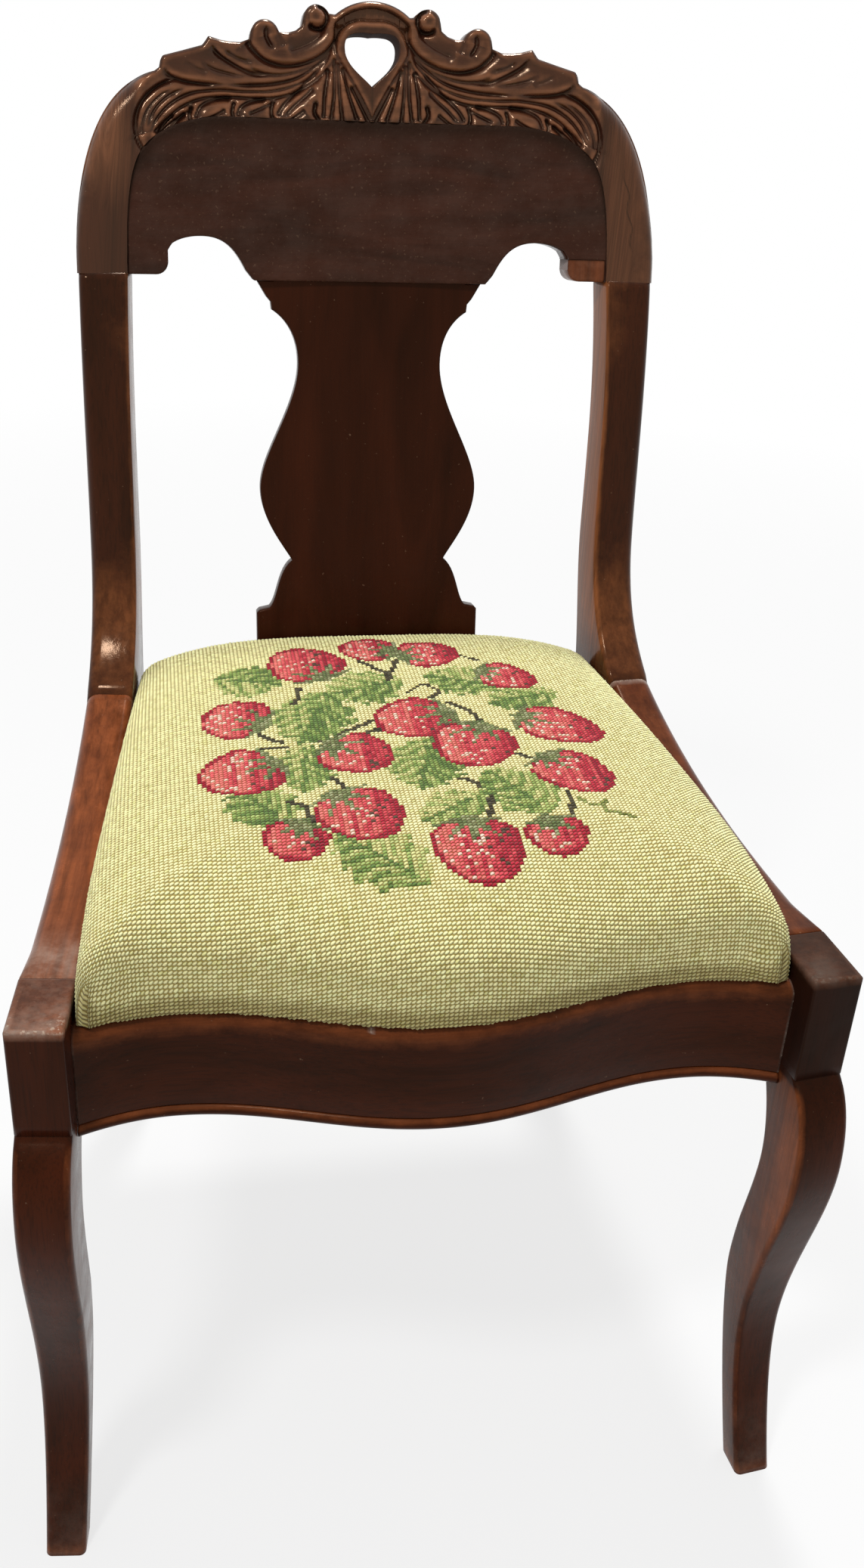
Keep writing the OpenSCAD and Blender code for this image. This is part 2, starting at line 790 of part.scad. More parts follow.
// Cushion surface: the outline below is drawn in towards the seat's middle by a share, and the
// height runs from the edge up to the crown
seat_mid_y = (rail_mid + seat_rear) / 2;
front_corner_x = side_x(rail_end + corner_r) - corner_r;
rear_corner_x = side_x(seat_rear - corner_r) - corner_r;
seat_half = concat(
    [for (i = [0:10]) let (x = i / 10 * front_corner_x) [x, rail_face(x)]],
    arc([front_corner_x, rail_face(front_corner_x) + corner_r], corner_r, -60, 0, 2),
    [for (j = [1:8]) let (y = rail_end + 12 + (seat_rear - rail_end - 19) * j / 9) [side_x(y), y]],
    arc([rear_corner_x, seat_rear - corner_r], corner_r, 0, 90, 3),
    [for (i = [4:-1:1]) [rear_corner_x * i / 5, seat_rear]],
    [[0, seat_rear]]
);
seat_outline = concat(seat_half, flip(mirrored([for (i = [1:len(seat_half) - 2]) seat_half[i]])));

// Height of the seat's edge at a point of the outline
function edge_h(p) = let (behind = p[1] - rail_face(p[0]), late = max(0, p[1] - seat_mid_y) / seat_mid_y)
    edge_front + (edge_side - edge_front) * (1 - exp(-behind / 45)) - 8 * late * late
    + (p[1] > seat_mid_y ? edge_rear * (1 - pow(abs(p[0]) / side_x(p[1]), 4)) : 0);

// A point of the cushion: outline point, share of the way from the middle, and height
function lean(p, z) = p[1] > seat_mid_y ? z * tan(rake) * (p[1] - seat_mid_y) / (seat_rear - seat_mid_y) : 0;
function seat_point(p, f, z) = [f * p[0], seat_mid_y + f * (p[1] + lean(p, z) - seat_mid_y), z];
function dome(p, f) = edge_h(p) + (crown - edge_h(p)) * sqrt(1 - pow(f, 4));
function top_ring(f, skin) = [for (p = seat_outline) seat_point(p, f - skin * 0.013 / cover_t, dome(p, f) - skin)];
function wall_ring(f, share) = [for (p = seat_outline) seat_point(p, f, share * edge_h(p))];
function flat_ring(f, z) = [for (p = seat_outline) [f * p[0], seat_mid_y + f * (p[1] - seat_mid_y), z]];

// Closed solid through rings of points, with a pole at each end
module ringed(rings, first, last) {
    n = len(rings[0]);
    m = len(rings);
    points = concat([for (r = rings) each r], [first, last]);
    polyhedron(points, concat(
        [for (k = [0:m - 2], i = [0:n - 1]) each [
            [k * n + i, k * n + (i + 1) % n, (k + 1) * n + i],
            [k * n + (i + 1) % n, (k + 1) * n + (i + 1) % n, (k + 1) * n + i]]],
        [for (i = [0:n - 1]) [m * n, (i + 1) % n, i]],
        [for (i = [0:n - 1]) [m * n + 1, (m - 1) * n + i, (m - 1) * n + (i + 1) % n]]));
}

dome_steps = [0.3, 0.55, 0.74, 0.87, 0.95, 0.985];
skin_share = 0.013;
module seat_cover()
    color(needlepoint)
        in_seat()
            ringed(concat(
                [for (f = dome_steps) top_ring(f, 0)],
                [wall_ring(1, 0.9), wall_ring(1, 0.5), flat_ring(1, 0), flat_ring(1 - margin, 0)],
                [flat_ring(1 - margin, cover_t), flat_ring(1 - skin_share, cover_t)],
                [wall_ring(1 - skin_share, 0.5), wall_ring(1 - skin_share, 0.82)],
                flip([for (f = dome_steps) top_ring(f, cover_t)])),
                [0, seat_mid_y, crown], [0, seat_mid_y, crown - cover_t]);

stuffing_z = hessian_z + hessian_t;
stuffing_f = 0.92;
stuffing_gap = 0.8;
module stuffing()
    color(horsehair)
        in_seat()
            ringed(concat(
                [for (k = [0:4]) top_ring(dome_steps[k], cover_t + stuffing_gap)],
                [flat_ring(stuffing_f, stuffing_z)]),
                [0, seat_mid_y, crown - cover_t - stuffing_gap], [0, seat_mid_y, stuffing_z]);

// Cover tacks, driven up through the turned-under margin into the seat frame
tack_in = 14;
module cover_tacks()
    color(steel)
        in_seat()
            for (p = concat(
                    [for (i = [-6:6]) let (x = i * 28) [x, rail_face(x) + tack_in]],
                    [for (side = [-1, 1], j = [0:7])
                        let (y = front_member_y + 30 + j * (back_member_y - front_member_y - 58) / 7)
                            [side * (side_x(y) - tack_in), y]],
                    [for (i = [-4:4]) [i * 33, seat_rear - tack_in]]))
                translate([p[0], p[1], tack_head_h - 0.2])
                    mirror([0, 0, 1])
                        tack();

module left_front_leg() front_leg(-1);
module right_front_leg() front_leg(1);
module left_side_rail() side_rail(-1);
module right_side_rail() side_rail(1);
module left_rear_post() rear_post(-1);
module right_rear_post() rear_post(1);
module left_seat_ledge() seat_ledge(-1);
module right_seat_ledge() seat_ledge(1);
module front_left_corner_block() corner_block(-1, 1);
module front_right_corner_block() corner_block(1, 1);
module rear_left_corner_block() corner_block(-1, -1);
module rear_right_corner_block() corner_block(1, -1);
module seat_frame_left() seat_frame_side(-1);
module seat_frame_right() seat_frame_side(1);

left_front_leg();
right_front_leg();
left_side_rail();
right_side_rail();
left_rear_post();
right_rear_post();
front_rail();
front_rail_bead();
rear_rail();
splat();
crest_rail();
crest_panel();
right_ear_splice();
left_seat_ledge();
right_seat_ledge();
front_left_corner_block();
front_right_corner_block();
rear_left_corner_block();
rear_right_corner_block();
corner_block_screws();
leg_dowels();
post_dowels();
front_rail_dowels();
rear_rail_dowels();
crest_dowels();
seat_frame_front();
seat_frame_back();
seat_frame_left();
seat_frame_right();
seat_frame_dowels();
long_webbing();
cross_webbing();
webbing_tacks();
hessian();
stuffing();
seat_cover();
cover_tacks();
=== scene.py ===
"""Side chair in dark mahogany with a carved crest rail, a vase splat and a needlepoint seat."""
import json
import math

import bpy
import numpy as np
from mathutils import Matrix, Vector

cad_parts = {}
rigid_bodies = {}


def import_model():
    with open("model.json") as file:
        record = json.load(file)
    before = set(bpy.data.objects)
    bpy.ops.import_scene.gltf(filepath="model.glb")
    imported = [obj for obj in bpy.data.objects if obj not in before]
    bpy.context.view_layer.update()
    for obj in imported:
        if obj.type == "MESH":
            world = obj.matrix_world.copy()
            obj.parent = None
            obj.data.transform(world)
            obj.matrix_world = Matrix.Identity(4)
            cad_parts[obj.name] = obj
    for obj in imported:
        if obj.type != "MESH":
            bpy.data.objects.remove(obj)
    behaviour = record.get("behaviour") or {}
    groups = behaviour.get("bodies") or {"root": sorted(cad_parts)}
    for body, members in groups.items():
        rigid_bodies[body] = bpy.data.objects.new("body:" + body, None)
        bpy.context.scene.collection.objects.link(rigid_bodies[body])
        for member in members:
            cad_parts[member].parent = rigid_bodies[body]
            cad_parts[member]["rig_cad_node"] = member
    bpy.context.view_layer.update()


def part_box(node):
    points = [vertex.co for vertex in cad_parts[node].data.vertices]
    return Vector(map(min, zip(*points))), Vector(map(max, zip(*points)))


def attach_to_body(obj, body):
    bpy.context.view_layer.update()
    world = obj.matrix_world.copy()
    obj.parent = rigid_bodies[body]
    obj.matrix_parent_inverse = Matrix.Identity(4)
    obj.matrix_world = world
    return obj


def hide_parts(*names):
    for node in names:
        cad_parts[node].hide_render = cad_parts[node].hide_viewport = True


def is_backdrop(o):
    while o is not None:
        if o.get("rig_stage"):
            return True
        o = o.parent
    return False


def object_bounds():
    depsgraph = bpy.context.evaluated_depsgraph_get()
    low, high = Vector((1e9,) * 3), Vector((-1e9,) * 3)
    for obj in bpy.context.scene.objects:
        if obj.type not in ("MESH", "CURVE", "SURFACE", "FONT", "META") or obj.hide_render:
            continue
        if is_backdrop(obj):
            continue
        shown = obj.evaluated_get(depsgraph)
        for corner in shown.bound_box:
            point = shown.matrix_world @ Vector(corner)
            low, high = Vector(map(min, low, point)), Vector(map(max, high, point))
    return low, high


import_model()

# Front legs. Each is one piece of mahogany: a square block at the seat, a full knee below it, a
# slim ankle and a toe that comes forward. Every corner is rubbed soft, the block's top most.
FRONT_W = 471.0
SPLAY = math.radians(6.4)
BOARD_T = 31.0
BLOCK_TOP, BLOCK_BOTTOM, BLOCK_D = 412.0, 341.0, 48.0
LEG_TOP = 346.0
FOOT_T, TAPER_H = 25.0, 200.0
CANT = math.radians(1)
REAR_RAIL_Y = 342.0
ORIGIN_Y = REAR_RAIL_Y - 1000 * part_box("rear_rail")[0][1]
SIDES = {"left": -1, "right": 1}


def row(points):
    """Millimetres, y counted from the front of the leg blocks, as metres of the row frame."""
    return (np.asarray(points, float) - [0, ORIGIN_Y, 0]) * 0.001


def in_side(side, points):
    """Points (inward from the outer face, along the board, up) of a side frame, turned by the
    splay about the block's outer front corner and mirrored for the right side."""
    p = np.asarray(points, float)
    x = -FRONT_W / 2 + p[..., 0] * math.cos(SPLAY) + p[..., 1] * math.sin(SPLAY)
    y = p[..., 1] * math.cos(SPLAY) - p[..., 0] * math.sin(SPLAY)
    return np.stack([-side * x, y, p[..., 2]], -1)


def ramped(value, low, high):
    """The share of the way from low to high, kept between 0 and 1."""
    return np.clip((value - low) / (high - low), 0, 1)


def thickness(z):
    """How thick a leg is at a height: even above the taper, thinner towards the foot."""
    return FOOT_T + (BOARD_T - FOOT_T) * ramped(z, 0, TAPER_H)


def bezier(a, b, c, d, n=24):
    """Points of a cubic, (1-t)^3 a + 3 (1-t)^2 t b + 3 (1-t) t^2 c + t^3 d for t from 0 to 1."""
    t = np.linspace(0, 1, n + 1)[:, None]
    a, b, c, d = (np.array(p, float) for p in (a, b, c, d))
    return (1 - t) ** 3 * a + 3 * (1 - t) ** 2 * t * b + 3 * (1 - t) * t ** 2 * c + t ** 3 * d


def chain(*parts):
    """Curves joined end to end, without the doubled points."""
    points = np.concatenate([np.atleast_2d(np.array(p, float)) for p in parts])
    return points[np.r_[True, np.linalg.norm(np.diff(points, axis=0), axis=1) > 1e-6]]


def stations(knots, counts):
    """Values that run from knot to knot in equal steps, so many steps between each two."""
    runs = [np.linspace(a, b, n, endpoint=False) for a, b, n in zip(knots, knots[1:], counts)]
    return np.concatenate(runs + [[knots[-1]]])


def edge_at(line, axis, values):
    """Points of a line where its coordinate number axis, which only grows or only falls, has
    the values."""
    order = np.argsort(line[:, axis], kind="stable")
    other = np.interp(values, line[order, axis], line[order, 1 - axis])
    return np.stack([values, other] if axis == 0 else [other, values], -1)


def rounded_rings(front, back, outer, inner, radii, inset, steps=6):
    """Rings of a board: at each station a rectangle from the front edge to the back edge and
    from the outer face to the inner face, shrunk by the inset, its four corners turned with the
    radii in the order outer front, inner front, inner back, outer back."""
    n = len(front)
    depth = np.linalg.norm(back - front, axis=1)
    across = (back - front) / depth[:, None]
    outer, inner, inset = (np.broadcast_to(np.asarray(v, float), n) for v in (outer, inner, inset))
    radii = np.broadcast_to(np.asarray(radii, float), (n, 4))
    limit = 0.49 * np.minimum(inner - outer, depth)
    rings = []
    for k, (sx, sw) in enumerate([(0, 0), (1, 0), (1, 1), (0, 1)]):
        r = np.minimum(radii[:, k], limit)
        turn = np.radians(180 + 90 * k + np.linspace(0, 90, steps + 1))
        small, extra = np.maximum(r - inset, 0.05), np.maximum(inset - r, 0)
        places = []
        for face, lean, swing in (((inner if sx else outer), 1 - 2 * sx, np.cos(turn)),
                                  ((depth if sw else 0), 1 - 2 * sw, np.sin(turn))):
            centre = face + lean * r
            places.append(centre[:, None] + lean * extra[:, None] + small[:, None] * swing)
        yz = front[:, None, :] + across[:, None, :] * places[1][..., None]
        rings.append(np.concatenate([places[0][..., None], yz], -1))
    return np.concatenate(rings, 1)


def tube_faces(n, m, start=0):
    """Quads between n rings of m points, and the two end faces."""
    i, j = np.meshgrid(np.arange(n - 1), np.arange(m), indexing="ij")
    k = (j + 1) % m
    quads = np.stack([i * m + j, i * m + k, (i + 1) * m + k, (i + 1) * m + j], -1).reshape(-1, 4)
    ends = [list(range(m - 1, -1, -1)), list(range((n - 1) * m, n * m))]
    return [[c + start for c in f] for f in quads.tolist() + ends]


def volume(points, faces):
    """Volume inside the faces: a sixth of the sum of a . (b x c) over fans of triangles."""
    total = 0.0
    for size in {len(f) for f in faces}:
        f = np.array([f for f in faces if len(f) == size])
        for k in range(1, size - 1):
            a, b, c = points[f[:, 0]], points[f[:, k]], points[f[:, k + 1]]
            total += np.einsum("ij,ij->", a, np.cross(b, c)) / 6
    return total


def attach(piece, title, values, domain="POINT"):
    """Keep values on a piece's points or corners: three each make a vector, four a colour."""
    kind, field = {3: ("FLOAT_VECTOR", "vector"), 4: ("FLOAT_COLOR", "color")}[values.shape[-1]]
    made = piece.data.attributes.new(title, kind, domain)
    made.data.foreach_set(field, values.ravel())


def build(name, body, points, grain, wear_and_light, nodes, look, faces=None,
          flat_from=None):
    """A mesh piece of rings of points in millimetres that rides on a body and replaces nodes.
    Grain holds each point's place in the board, along, across and through it; wear_and_light holds
    how worn, how dusty and how dark it is, and on some pieces its worn share also paints light and
    its dusty and dark shares paint shade. Faces from number flat_from on are shaded flat, as the
    end faces are."""
    shape = points.shape[:-1]
    faces = faces or tube_faces(*shape)
    points = row(points).reshape(-1, 3)
    if volume(points, faces) < 0:
        faces = [f[::-1] for f in faces]
    mesh = bpy.data.meshes.new(name)
    mesh.from_pydata(points.tolist(), [], faces)
    flat_from = len(faces) if flat_from is None else flat_from
    smooth = [len(f) < 5 and k < flat_from for k, f in enumerate(faces)]
    mesh.polygons.foreach_set("use_smooth", smooth)
    piece = bpy.data.objects.new(name, mesh)
    attach(piece, "grain", np.asarray(grain) * 0.001)
    attach(piece, "wear_and_light", np.stack([np.broadcast_to(f, shape) for f in (*wear_and_light, 1.0)], -1))
    mesh.update()
    mesh.materials.append(look)
    bpy.context.collection.objects.link(piece)
    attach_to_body(piece, body)
    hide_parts(*nodes)
    return piece


def blank(name):
    """A material with no nodes; its tree takes the nodes that are made next."""
    global tree
    material = bpy.data.materials.new(name)
    material.use_nodes = True
    tree = material.node_tree
    tree.nodes.clear()
    return material


def node(kind, values=None, **options):
    """A shader node. Values go to its inputs by name or number, each a constant or another
    output; options are its own settings."""
    made = tree.nodes.new("ShaderNode" + kind)
    for key, value in options.items():
        setattr(made, key, value)
    for key, value in (values or {}).items():
        if isinstance(value, bpy.types.NodeSocket):
            tree.links.new(value, made.inputs[key])
        else:
            made.inputs[key].default_value = value
    return made


def to_linear(screen):
    """Colours given as 0 to 255 on the screen, as the linear values that shaders take."""
    c = np.array(screen) / 255
    return np.where(c <= 0.04045, c / 12.92, ((c + 0.055) / 1.055) ** 2.4)


def linear(r, g, b):
    """A screen colour as a solid colour of a shader."""
    return (*to_linear([r, g, b]).tolist(), 1.0)


def mixed(factor, a, b, blend="MIX"):
    """The two colours mixed by the factor."""
    return node("Mix", {0: factor, 6: a, 7: b}, data_type="RGBA", blend_type=blend).outputs[2]


def ramp(value, low, high, out_low=0.0, out_high=1.0):
    """The value taken from the range low to high to out_low to out_high, and clamped."""
    return node("MapRange", {"Value": value, "From Min": low, "From Max": high,
                             "To Min": out_low, "To Max": out_high}).outputs["Result"]


def maths(kind, a, b=0.0, *more):
    """One arithmetic step on the values."""
    return node("Math", dict(enumerate((a, b, *more))), operation=kind).outputs[0]


def times(a, b):
    """The product of two values."""
    return maths("MULTIPLY", a, b)


def noise(vector, scale, detail, rough=0.5, distortion=0.0):
    """A cloudy pattern between 0 and 1."""
    return node("TexNoise", {"Vector": vector, "Scale": scale, "Detail": detail,
                             "Roughness": rough, "Distortion": distortion}).outputs["Fac"]


def bumped(height, distance, strength, normal=None):
    """The surface's normal tilted by a pattern's height, over another tilt if there is one."""
    under = {"Normal": normal} if normal else {}
    return node("Bump", {"Height": height, "Distance": distance, "Strength": strength,
                         **under}).outputs[0]


def surface(colour, rough, specular, **more):
    """The shader of the material being made."""
    shader = node("BsdfPrincipled", {"Base Color": colour, "Roughness": rough,
                                     "Specular IOR Level": specular, **more})
    node("OutputMaterial", {0: shader.outputs[0]})


PORE_DARK, SHADE_AND_GRIME = (0.004, 0.002, 0.0015, 1), (0.003, 0.0015, 0.001, 1)
DUST, CHIP, SPECK = linear(150, 132, 120), linear(206, 188, 168), linear(150, 120, 96)


def polished_wood(name, deep, mid, worn, gloss=0.2, figure=7.0, streaky=0.45, crinkle=0.0,
                  specular=0.11, specks=0.735):
    """Old polished wood. Streaks stretched along the grain run between the deep and the mid colour,
    fine pores darken it, the worn colour shows where wear_and_light says so, as wear and on some
    pieces as painted light, and in scattered scuffs, and dust greys it. Where wear_and_light says
    dark, the wood turns nearly black and matt, as grime and dark joints, and on some pieces as
    painted shade. The polish is broken by a faint waviness, and by a fine crinkle where the varnish
    has shrunk."""
    material = blank(name)
    deep, mid, worn = linear(*deep), linear(*mid), linear(*worn)
    grain = node("Attribute", attribute_name="grain").outputs["Vector"]
    wear_and_light = node("Attribute", attribute_name="wear_and_light").outputs["Color"]
    used, dusty, dark = node("SeparateColor", {"Color": wear_and_light}).outputs
    wide, long = (node("Mapping", {"Vector": grain, "Scale": (stretch, 1, 1)}).outputs[0]
                  for stretch in (0.22, 0.035))
    cloud = noise(wide, figure * 4, 4.0, distortion=1.2)
    streak = noise(long, 190.0, 5.0, 0.65)
    pores = noise(long, 900.0, 2.0)
    scuff = noise(grain, 46.0, 6.0, 0.7)
    speck = noise(grain, 420.0, 2.0)
    base = mixed(ramp(cloud, 0.32, 0.7), deep, mid)
    base = mixed(ramp(streak, 0.35, 0.75, 0.0, streaky), base, mid)
    base = mixed(ramp(pores, 0.5, 0.64, 0.0, 0.7 * streaky), base, PORE_DARK)
    patch = maths("MULTIPLY_ADD", used, 1.0, ramp(scuff, 0.3, 0.7, -0.16, 0.16))
    shown = times(ramp(patch, 0.1, 0.9), ramp(used, 0.0, 0.15))
    light = mixed(ramp(streak, 0.38, 0.66), worn, [0.45 * c for c in worn[:3]] + [1.0])
    base = mixed(shown, base, light)
    base = mixed(times(dusty, ramp(scuff, 0.4, 0.62, 0.25, 1.0)), base, DUST)
    chips = times(ramp(dusty, 0.66, 0.95, 0.0, 0.7), ramp(speck, 0.54, 0.62))
    base = mixed(chips, base, CHIP)
    # pale specks; at the panel's lower threshold they paint both its whitish crackle and the glints
    # on it
    pale = 0.3 if specks > 0.7 else 0.12
    base = mixed(ramp(speck, specks, specks + 0.05, 0.0, pale), base, SPECK)
    # the dark share: grime and dark joints, and painted shade on some pieces
    base = mixed(dark, base, SHADE_AND_GRIME)
    rough = ramp(scuff, 0.3, 0.7, gloss - 0.05, gloss + 0.1)
    rough = maths("ADD", rough, times(dark, 0.4))
    bump = bumped(streak, 0.00025, 0.5, bumped(noise(grain, 60.0, 3.0), 0.0006, 0.35))
    if crinkle:
        bump = bumped(noise(grain, 330.0, 3.0, 0.6), 0.0005, crinkle, bump)
    surface(base, rough, specular, Normal=bump, **{"Specular Tint": (1.0, 0.66, 0.44, 1)})
    return material


mahogany = polished_wood("mahogany", (38, 12, 3), (66, 26, 11), (148, 80, 44))
post_mahogany = polished_wood("post_mahogany", (34, 12, 4), (60, 26, 13), (142, 84, 48), 0.13,
                              specular=0.18)

knee_line = chain([(2, LEG_TOP)], bezier((2, 341), (-14, 334), (-20, 310), (-20, 285)),
                  bezier((-20, 285), (-20, 240), (10, 175), (10, 117)),
                  bezier((10, 117), (10, 75), (-4, 30), (-14, 0)), [(-14.4, -1)])
calf_line = chain([(48, LEG_TOP)], bezier((48, 341), (34, 330), (22, 300), (22, 270)),
                  bezier((22, 270), (22, 240), (38, 190), (39, 155)),
                  bezier((39, 155), (39, 110), (22, 45), (9, 0)), [(8.8, -1)])
front_z, back_z = (stations([LEG_TOP, knee, ankle, -1], [16, 40, 34])
                   for knee, ankle in ((285, 117), (283, 122)))
block_z = np.array([BLOCK_BOTTOM, BLOCK_BOTTOM + 1, BLOCK_BOTTOM + 8, 380, BLOCK_TOP - 6,
                    BLOCK_TOP - 1.6, BLOCK_TOP - 0.5, BLOCK_TOP, BLOCK_TOP])
block_inset = [0.9, 0, 0, 0, 0, 0, 0.8, 1.8, 4.2]
block_front = np.stack([0 * block_z, block_z], -1)
block_back = np.stack([0 * block_z + BLOCK_D, block_z - ramped(block_z, 411, 412)], -1)
for label, side in SIDES.items():
    left = side < 0
    leg = rounded_rings(edge_at(knee_line, 1, front_z), edge_at(calf_line, 1, back_z), 0,
                        thickness(front_z), [4, 4, 3.5, 3.5], 0)
    block = rounded_rings(block_front, block_back, 0, BOARD_T, [2.2, 1.4, 0.4, 1.4], block_inset)
    grain = np.concatenate([leg, block])[..., [2, 1, 0]] + [side * 700, 0, 0]
    x, z = leg[..., 0] - BOARD_T, leg[..., 2] - LEG_TOP
    leg[..., 0] = x * math.cos(CANT) + z * math.sin(CANT) + BOARD_T
    leg[..., 2] = np.maximum(z * math.cos(CANT) - x * math.sin(CANT) + LEG_TOP, 0)
    points = in_side(side, np.concatenate([leg, block]))
    faces = tube_faces(*leg.shape[:2]) + tube_faces(*block.shape[:2], leg[..., 0].size)
    y, z = points[..., 1], points[..., 2]
    front_arris = 0.5 * (z > 409.9) * (y < 3.5)
    worn = 0.4 * ramped(z, 405, 412) + 0.5 * ramped(z, 12, 0) + front_arris
    inner = grain[..., 2] / thickness(z)
    # painted light: the front part of each knee's inner face takes the worn colour where light
    # falls on it, far more on the right leg
    lit = ramped(z, 130, 280) * (z < 338)
    lit = lit * (grain[..., 1] < edge_at(knee_line, 1, np.clip(z, 0, LEG_TOP))[..., 0] + 8)
    worn = worn + (0.1 if left else 0.6) * ramped(inner, 0.92, 0.98) * lit
    worn = worn + 0.2 * (np.minimum(inner, 1 - inner) < 0.1) * (z < 338)
    dusty = (0.4 if left else 0.3) * ramped(z, 409, 412) + front_arris + 0.14 * ramped(z, 60, 10)
    # painted shade: the block and the top of the knee are darkened, the right leg's far more
    dark = (0.2 if left else 0.75) * ramped(z, 300, 360)
    build(f"{label}_front_leg_shaped", "frame", points, grain, (worn, dusty, dark),
          [f"{label}_front_leg"], mahogany, faces=faces)

# Side rails. The top edge dips behind the leg block and climbs to the rear post; it is rounded
# towards the outside and shows a lighter red brown, as wear and as a painted highlight; the right
# rail gets half as much, which paints it in shade.
SCARF_TOP, SCARF_FOOT = (319.0, 447.0), (336.0, 344.0)
rail_top_line = bezier((48, 411), (140, 408), (235, 415), SCARF_TOP, 40)
rail_low_line = bezier((48, 341), (150, 352), (257, 352), SCARF_FOOT, 40)
along = np.r_[0, 0.003, np.linspace(0.02, 0.98, 46), 0.997, 1]
top, low = (edge_at(line, 0, BLOCK_D + along * (end - BLOCK_D))
            for line, end in ((rail_top_line, SCARF_TOP[0]), (rail_low_line, SCARF_FOOT[0])))
radii = np.array([1.4, 1.4, 1.5, 1.5]) + ramped(along, 0, 0.12)[:, None] * [7.5, 3.5, 1.5, 1.5]
for label, side in SIDES.items():
    left = side < 0
    rail = rounded_rings(top, low, 0, BOARD_T, radii, 0.5 * ((along == 0) | (along == 1)))
    grain = rail[..., [1, 2, 0]] + [side * 500, 90, 0]
    depth = np.linalg.norm(rail[..., 1:] - top[:, None], axis=-1)
    # wear and painted highlight along the top edge, less on the right rail as painted shade
    worn = (0.6 if left else 0.3) * ramped(depth, 16, 4)
    dusty = 0.6 * np.exp(-((rail[..., 1] - 62) / 22) ** 2) * ramped(depth, 30, 0)
    dusty = dusty * left + 0.9 * (not left) * (along > 0.985)[:, None] * (depth < 26)
    build(f"{label}_side_rail_shaped", "frame", in_side(side, rail), grain, (worn, dusty, 0),
          [f"{label}_side_rail"], mahogany)

# Rear posts. Stile and rear leg are one board, swept back above and below the seat, with soft
# rounded front corners where the hand and the sitter rub them.
POST_TOP = 709.0
stile_front = chain([(426.3, -1)], bezier((426, 0), (396, 110), (348, 240), SCARF_FOOT),
                    [SCARF_TOP], bezier(SCARF_TOP, (345, 465), (363.3, 485), (370.3, 525)),
                    bezier((370.3, 525), (375.3, 555), (379.5, 640), (390.5, POST_TOP)))
stile_back = chain([(452.3, -1)], bezier((452, 0), (405, 120), (385, 300), (386, 400)),
                   bezier((386, 400), (386, 450), (404, 490), (406, 535)),
                   bezier((406, 535), (408, 590), (410, 650), (418, 704.2)))
front_z, back_z = (stations([-1, *knots], [50, 14, 16, 44])
                   for knots in ((344, 447, 525, POST_TOP), (368, 440, 520, 704.2)))
height = front_z[:, None]
radii = np.where((height > 342) & (height < 444), [0.3, 0.3, 3, 3], [8.5, 4.5, 3.5, 3.5])
radii = np.where(height < 343, 3 + ramped(height, 60, 260) * [0.5, 0, 0.5, 0.5], radii)
rise = ramped(height, 560, 680)
radii = np.where(height > 560, radii * (1 - rise) + rise * [7, 2, 3, 3], radii)
for label, side in SIDES.items():
    post = rounded_rings(edge_at(stile_front, 1, front_z), edge_at(stile_back, 1, back_z), 0,
                         thickness(front_z), radii, 0.15 * (front_z == POST_TOP))
    grain = post[..., [2, 1, 0]] + [side * 900, 40, 0]
    x, y, z = np.moveaxis(post, -1, 0)
    rub = ramped(y - edge_at(stile_front, 1, z)[..., 0], 12, 0)
    worn = 0.45 * rub * np.exp(-((z - 480) / 45) ** 2) + 0.5 * ramped(z, 12, 0)
    # painted light: the inner face above the seat takes the worn colour where light falls on it,
    # most on the right post
    worn = worn + (0.55 if side < 0 else 0.95) * ramped(x, 28, 31) * ramped(z, 430, 490)
    post[..., 1] += (2.4 + 8 * x / BOARD_T) * ramped(z, 600, 706) ** 2
    post[..., 2] = np.maximum(post[..., 2], 0)
    build(f"{label}_rear_post_shaped", "frame", in_side(side, post), grain, (worn, 0, 0),
          [f"{label}_rear_post"], post_mahogany)

# Front rail. Its face bows out in the middle and hollows at each side; the top front edge is
# rounded over by years of knees and shows lighter wood, as wear and as a painted highlight. The
# rail's top under the seat is painted dark as shade.
RAIL_TOP, RAIL_H = 397.0, 64.0
RAIL_MID, RAIL_DIP, RAIL_DROP, DIP_X = -2.0, 25.0, 11.0, 150.0
REAR = 60.0


def inner_x(y):
    """Half the clear width between the side frames: the outer half width, less the run-in of
    the side frame at that depth, less its board."""
    return FRONT_W / 2 - y * math.tan(SPLAY) - BOARD_T / math.cos(SPLAY)


RAIL_HALF = inner_x(RAIL_DIP - RAIL_DROP)


def rail_face(x):
    """Place of the rail's face: a cosine swell between the hollows, then forward with the square
    of the distance from the hollow."""
    x = np.abs(x)
    middle = RAIL_DIP - (RAIL_DIP - RAIL_MID) * (1 + np.cos(np.pi * x / DIP_X)) / 2
    ends = RAIL_DIP - RAIL_DROP * ((x - DIP_X) / (RAIL_HALF - DIP_X)) ** 2
    return np.where(x < DIP_X, middle, ends)


def along_rail(*profile, n=161):
    """A closed profile of (distance behind the face, height) curves swept from end to end of the
    front rail; each point's run ends at the side frames."""
    share = np.r_[-1, -0.994, np.linspace(-0.985, 0.985, n - 4), 0.994, 1][:, None]
    behind, z = chain(*profile).T
    y = np.where(behind >= REAR, BLOCK_D, rail_face(share * RAIL_HALF) + behind)
    return np.stack(np.broadcast_arrays(share * inner_x(y), y, z), -1)


def arc(cy, cz, radius, start, end, n):
    """Points of a circle about (cy, cz) from one angle to another, in degrees."""
    a = np.radians(np.linspace(start, end, n + 1))
    return np.stack([cy + radius * np.cos(a), cz + radius * np.sin(a)], -1)


